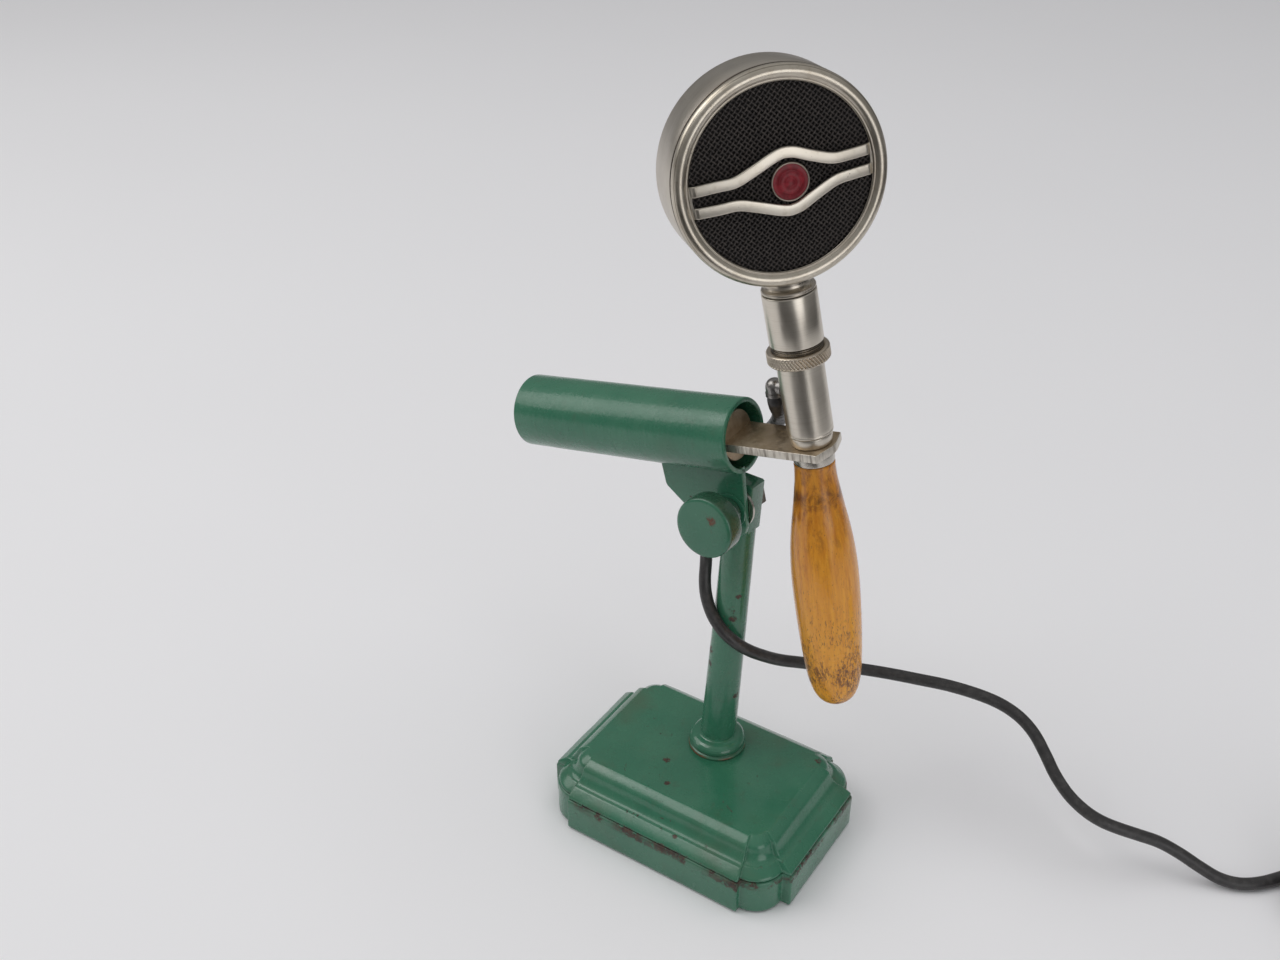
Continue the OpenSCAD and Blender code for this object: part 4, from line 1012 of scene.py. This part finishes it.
def grille():
    """Woven wire: two sets of round wires that pass over and under each other, and behind them a near-black disc,
    painted shade for the dark hollow of the head.
    """
    pitch, wr, rim = 1.36, 0.26, 33.4
    verts, faces = [], []
    seg = 6
    c, s = math.cos(math.radians(43)), math.sin(math.radians(43))
    count = int(rim / pitch)
    for fam in (0, 1):
        for i in range(-count, count + 1):
            o = i * pitch
            half = math.sqrt(max(0, rim * rim - o * o))
            if half < 2:
                continue
            n = int(half / (pitch / 4))
            base = len(verts)
            rows = 0
            for j in range(-n, n + 1):
                t = j * pitch / 4
                u, w = (t, o) if fam == 0 else (o, t)
                x, z = u * c - w * s, u * s + w * c
                sign = 1 if (i % 2 == 0) == (fam == 0) else -1
                y = mesh_front(math.hypot(x, z)) + wr * 0.95 * sign * math.sin(math.pi * (t / pitch + 0.5))
                d = Vector((c, 0, s)) if fam == 0 else Vector((-s, 0, c))
                side = Vector((-s, 0, c)) if fam == 0 else Vector((c, 0, s))
                up = Vector((0, 1, 0))
                for k in range(seg):
                    a = 2 * math.pi * k / seg + 0.3
                    p = Vector((x, y, z)) + side * (wr * 1.1 * math.cos(a)) + up * (wr * 0.85 * math.sin(a))
                    verts.append(tuple(p))
                rows += 1
            for r in range(rows - 1):
                for k in range(seg):
                    k2 = (k + 1) % seg
                    faces.append((base + r * seg + k, base + r * seg + k2, base + (r + 1) * seg + k2, base + (r + 1) * seg + k))
    g = make("head_mesh_woven", verts, faces, M["wire"], HEAD, "head", ["grille"], sharp=60)
    # Near-black disc just behind the wires: painted shade that darkens the holes of the mesh.
    lathe("head_mesh_cloth", [(0, -11.3), (20, -11.0), (33.6, -10.75), (33.6, -10.45), (0, -10.5)], M["cloth"], HEAD @ ALONG_Y, "head")
    return g


grille()

WAVE = [(-34, 3.6), (-29, 3.6), (-22, 3.75), (-16, 3.8), (-10.4, 5.6), (-3.6, 8.3), (0, 9.4), (2.4, 9.4), (5.2, 8.7), (10.4, 6.3), (17.2, 3.7), (23, 3.3), (29, 3.3), (34, 3.3)]
WAVE_MID = -0.6


def bars():
    """Two guard bars cut from one sheet: bowed over the mesh, bent back under the rim at each end."""
    def front(x, z):
        r2 = x * x + z * z
        y = -15.2 + 218 - math.sqrt(218 ** 2 - r2)
        ax = abs(x)
        if ax > 29.2:
            q = min(1.0, (ax - 29.2) / 1.7)
            y = y + (-12.0 - y) * (q * q * (3 - 2 * q)) + 0.15 * q
        return y

    line = resample(catmull([Vector(p) for p in WAVE], 10), 0.6)
    line = [p for p in line if abs(p.x) <= 32.3]
    verts, faces = [], []
    hw, th = 1.86, 1.0
    sect = [(-hw, th), (-hw, 0.42), (-hw + 0.06, 0.2), (-hw + 0.22, 0.07), (-hw + 0.5, 0.02), (-hw * 0.35, -0.03), (0, -0.045), (hw * 0.35, -0.03), (hw - 0.5, 0.02), (hw - 0.22, 0.07), (hw - 0.06, 0.2), (hw, 0.42), (hw, th)]
    for sgn in (1, -1):
        base = len(verts)
        n = len(line)
        for i, p in enumerate(line):
            t = (line[min(i + 1, n - 1)] - line[max(i - 1, 0)]).normalized()
            nx, nz = -t.y, t.x
            for off, dep in sect:
                x, z = p.x + nx * off, (p.y + nz * off)
                z = WAVE_MID + sgn * z
                verts.append((x, front(x, z) + dep, z))
        m = len(sect)
        for i in range(n - 1):
            for j in range(m):
                j2 = (j + 1) % m
                q = (base + i * m + j, base + i * m + j2, base + (i + 1) * m + j2, base + (i + 1) * m + j)
                faces.append(q if sgn < 0 else tuple(reversed(q)))
        faces.append(tuple(base + j for j in range(m)))
        faces.append(tuple(base + (n - 1) * m + j for j in range(m)))
    # webs at the two ends
    for e in (-1, 1):
        base = len(verts)
        zs = [WAVE_MID - 5.2 + 10.4 * i / 12 for i in range(13)]
        for z in zs:
            k = (z - WAVE_MID) / 2.0
            inner = 30.15 + 0.35 * (0 if abs(k) > 1 else math.sqrt(max(0, 1 - k * k)) - 1)
            for x, dep in ((inner, 0.9), (inner, 0.2), (inner + 0.25, 0.0), (32.2, 0.0), (32.2, 0.9)):
                verts.append((e * x, front(x, 0) + dep - 0.02, z))
        for i in range(12):
            for j in range(5):
                j2 = (j + 1) % 5
                q = (base + i * 5 + j, base + i * 5 + j2, base + (i + 1) * 5 + j2, base + (i + 1) * 5 + j)
                faces.append(q if e > 0 else tuple(reversed(q)))
    make("guard_bars_sheet", verts, faces, M["nickel_bars"], HEAD, "head", ["guard_bars"], sharp=50)


bars()
BADGE = HEAD @ move(2.5, 0, -1.4) @ ALONG_Y @ move(0, 0, -13.1)
lathe("badge_edge", [(5.85, 0.12), (5.95, -0.08), (6.2, -0.16), (6.45, -0.05), (6.52, 0.2), (6.5, 0.9), (6.3, 1.15), (0, 1.15), (0, 0.75), (5.85, 0.75)][0:8] + [(0, 0.75), (5.85, 0.7)],
      M["nickel_badge"], BADGE, "head", ["badge_rim"], seg=96, sharp=60)
lathe("badge_disc", [(0, -0.12), (1.35, -0.115), (1.45, -0.2), (1.62, -0.2), (1.72, -0.1), (3.6, -0.03), (3.7, -0.12), (3.9, -0.12), (4.0, 0.0), (5.2, 0.06), (5.86, 0.12), (5.86, 0.66), (0, 0.66)],
      M["red"], BADGE, "head", ["badge_enamel"], seg=96, sharp=60)

# --------------------------------------------------------------------------
# Handle
# --------------------------------------------------------------------------
lathe("handle_ferrule", [(3.1, -4.2), (7.2, -4.2), (7.55, -4.0), (7.6, -3.6), (7.6, -1.2), (7.5, -0.8), (7.2, -0.7), (3.1, -0.7)], M["nickel_small"], HAND, "handle_collar_body", ["handle_collar"], rad=0.1)
hand = [(7.25, 0), (7.5, 0.25), (7.6, 0.8), (7.6, 3), (7.9, 7.6), (8.5, 12), (9.2, 17), (10.1, 22.5), (10.9, 27.5), (11.7, 33.5), (12.3, 40), (12.7, 47.5), (12.75, 56), (12.55, 66), (12.15, 76), (11.6, 85),
        (10.9, 93), (10.1, 98.6), (9.0, 103), (7.4, 106.4), (5.2, 108.6), (2.6, 109.7)]
hand = [tuple(p) for p in catmull([Vector((r, z * 107.5 / 110)) for r, z in hand], 4)]
lathe("handle_turned_wood", [(0, -22), (3.05, -22), (3.05, 0)] [::-1][:0] + [(3.05, 0)] + [(r, -z) for r, z in hand] + [(0.001, -107.5), (0.001, -22.0), (3.05, -22.0)],
      M["wood"], HAND @ move(0, 0, -4.4), "handle", ["wood_handle"], seg=144, sharp=60)


# --------------------------------------------------------------------------
# CAD nodes that stay as they are get their finish here
# --------------------------------------------------------------------------
FINISH = {
    "felt_pad": "felt", "base_screws": "steel", "post_nut": "steel", "clamp_screw": "steel_dark", "clamp_nut": "steel_dark", "clamp_washer": "nickel_small",
    "knob_washer": "bracket", "friction_sleeve": "fibre", "tube_plug": "bracket", "socket_insulator": "bakelite", "socket_contacts": "brass",
    "inner_leads": "lead", "cord_elbow": "nickel_elbow", "handle_stud": "steel", "union_washer": "brass", "neck_nut": "steel", "plug_insulator": "bakelite",
    "contact_pins": "brass", "head_leads": "lead", "baffle": "steel_dark", "clamp_ring": "steel", "diaphragm": "foil", "spacer_ring": "bakelite",
    "capsule_body": "capsule", "carbon_button": "carbon", "back_screws": "nickel_small", "plug_insert": "bakelite", "plug_pins": "brass",
}
for n, key in FINISH.items():
    o = NODES[n]
    if not o.material_slots:
        o.data.materials.append(M[key])
    for s in o.material_slots:
        s.material = M[key]

# --------------------------------------------------------------------------
# Studio
# --------------------------------------------------------------------------
def floor():
    me = bpy.data.meshes.new("floor")
    s = 6.0
    me.from_pydata([(-s, -s, 0), (s, -s, 0), (s, s, 0), (-s, s, 0)], [], [(0, 1, 2, 3)])
    o = bpy.data.objects.new("floor", me)
    m = Mat("floor_paper")
    n = m.noise(3, 2, 0.5)
    m.set(Base_Color=m.mix(n, (0.86, 0.855, 0.875), (0.89, 0.885, 0.905)), Roughness=0.95)
    m.p.inputs["Specular IOR Level"].default_value = 0.15
    me.materials.append(m.m)
    scene.collection.objects.link(o)
    o.location = (0, 0, -0.0002)


floor()


def card(name, corners, colour=0.012):
    """A dark card that only shows in reflections, as the unlit side of a studio does."""
    me = bpy.data.meshes.new(name)
    me.from_pydata(corners, [], [tuple(range(len(corners)))])
    o = bpy.data.objects.new(name, me)
    m = Mat(name)
    m.set(Base_Color=(colour, colour, colour), Roughness=1.0)
    m.p.inputs["Specular IOR Level"].default_value = 0.0
    me.materials.append(m.m)
    scene.collection.objects.link(o)
    o.visible_camera = False
    o.visible_diffuse = False
    o.visible_shadow = False
    o.visible_transmission = False


def sector(name, a0, a1, r0, r1, z, colour=0.012):
    inner = [(r0 * math.cos(math.radians(a)), r0 * math.sin(math.radians(a)), z) for a in (a0, (a0 + a1) / 2, a1)]
    outer = [(r1 * math.cos(math.radians(a)), r1 * math.sin(math.radians(a)), z) for a in (a1, (a0 + a1) / 2, a0)]
    card(name, inner + outer, colour)


# Dark cards seen only in reflections: painted dark reflections in front of and to the right of the object.
sector("dark_reflection_card_front", -108, -34, 0.30, 2.6, 0.001, 0.05)
sector("dark_reflection_card_right", -20, 62, 0.72, 2.6, 0.001)


def area(name, at, look, size, power, colour=(1, 1, 1), size_y=None):
    d = bpy.data.lights.new(name, "AREA")
    d.shape = "RECTANGLE"
    d.size = size
    d.size_y = size_y or size
    d.energy = power
    d.color = colour
    o = bpy.data.objects.new(name, d)
    scene.collection.objects.link(o)
    o.location = at
    o.rotation_euler = (Vector(look) - Vector(at)).to_track_quat("-Z", "Y").to_euler()
    return o


KEY, TOP, STREAK, RIGHT, SKY = 7.8, 9.6, 4.4, 4.2, 0.72
area("key_softbox", (-1.35, -0.55, 1.25), (0, 0, 0.15), 1.1, KEY, (1.0, 0.99, 0.97), 1.3)
area("top_softbox", (0.25, 0.4, 1.9), (0.05, 0.0, 0.1), 1.8, TOP, (0.99, 0.995, 1.0), 1.8).visible_glossy = False
area("streak_softbox", (-0.76, -0.74, 1.75), (0, 0, 0.1), 0.95, STREAK, (1.0, 1.0, 0.99), 0.75)
area("fill_softbox", (1.36, -0.66, 0.50), (0, 0, 0.22), 0.95, RIGHT, (0.99, 0.99, 1.0), 0.9)

world = bpy.data.worlds.new("studio")
scene.world = world
world.use_nodes = True
wt = world.node_tree
wt.nodes.clear()
wo = wt.nodes.new("ShaderNodeOutputWorld")
bg = wt.nodes.new("ShaderNodeBackground")
tc = wt.nodes.new("ShaderNodeTexCoord")
sep = wt.nodes.new("ShaderNodeSeparateXYZ")
mr = wt.nodes.new("ShaderNodeMapRange")
mr.interpolation_type = "SMOOTHSTEP"
mr.inputs[1].default_value, mr.inputs[2].default_value = 0.02, 0.9
mr.inputs[3].default_value, mr.inputs[4].default_value = 0.22, 0.60
wt.links.new(tc.outputs["Generated"], sep.inputs[0])
wt.links.new(sep.outputs[2], mr.inputs[0])
comb = wt.nodes.new("ShaderNodeCombineColor")
for i in range(3):
    wt.links.new(mr.outputs[0], comb.inputs[i])
wt.links.new(comb.outputs[0], bg.inputs[0])
bg.inputs[1].default_value = SKY
wt.links.new(bg.outputs[0], wo.inputs[0])
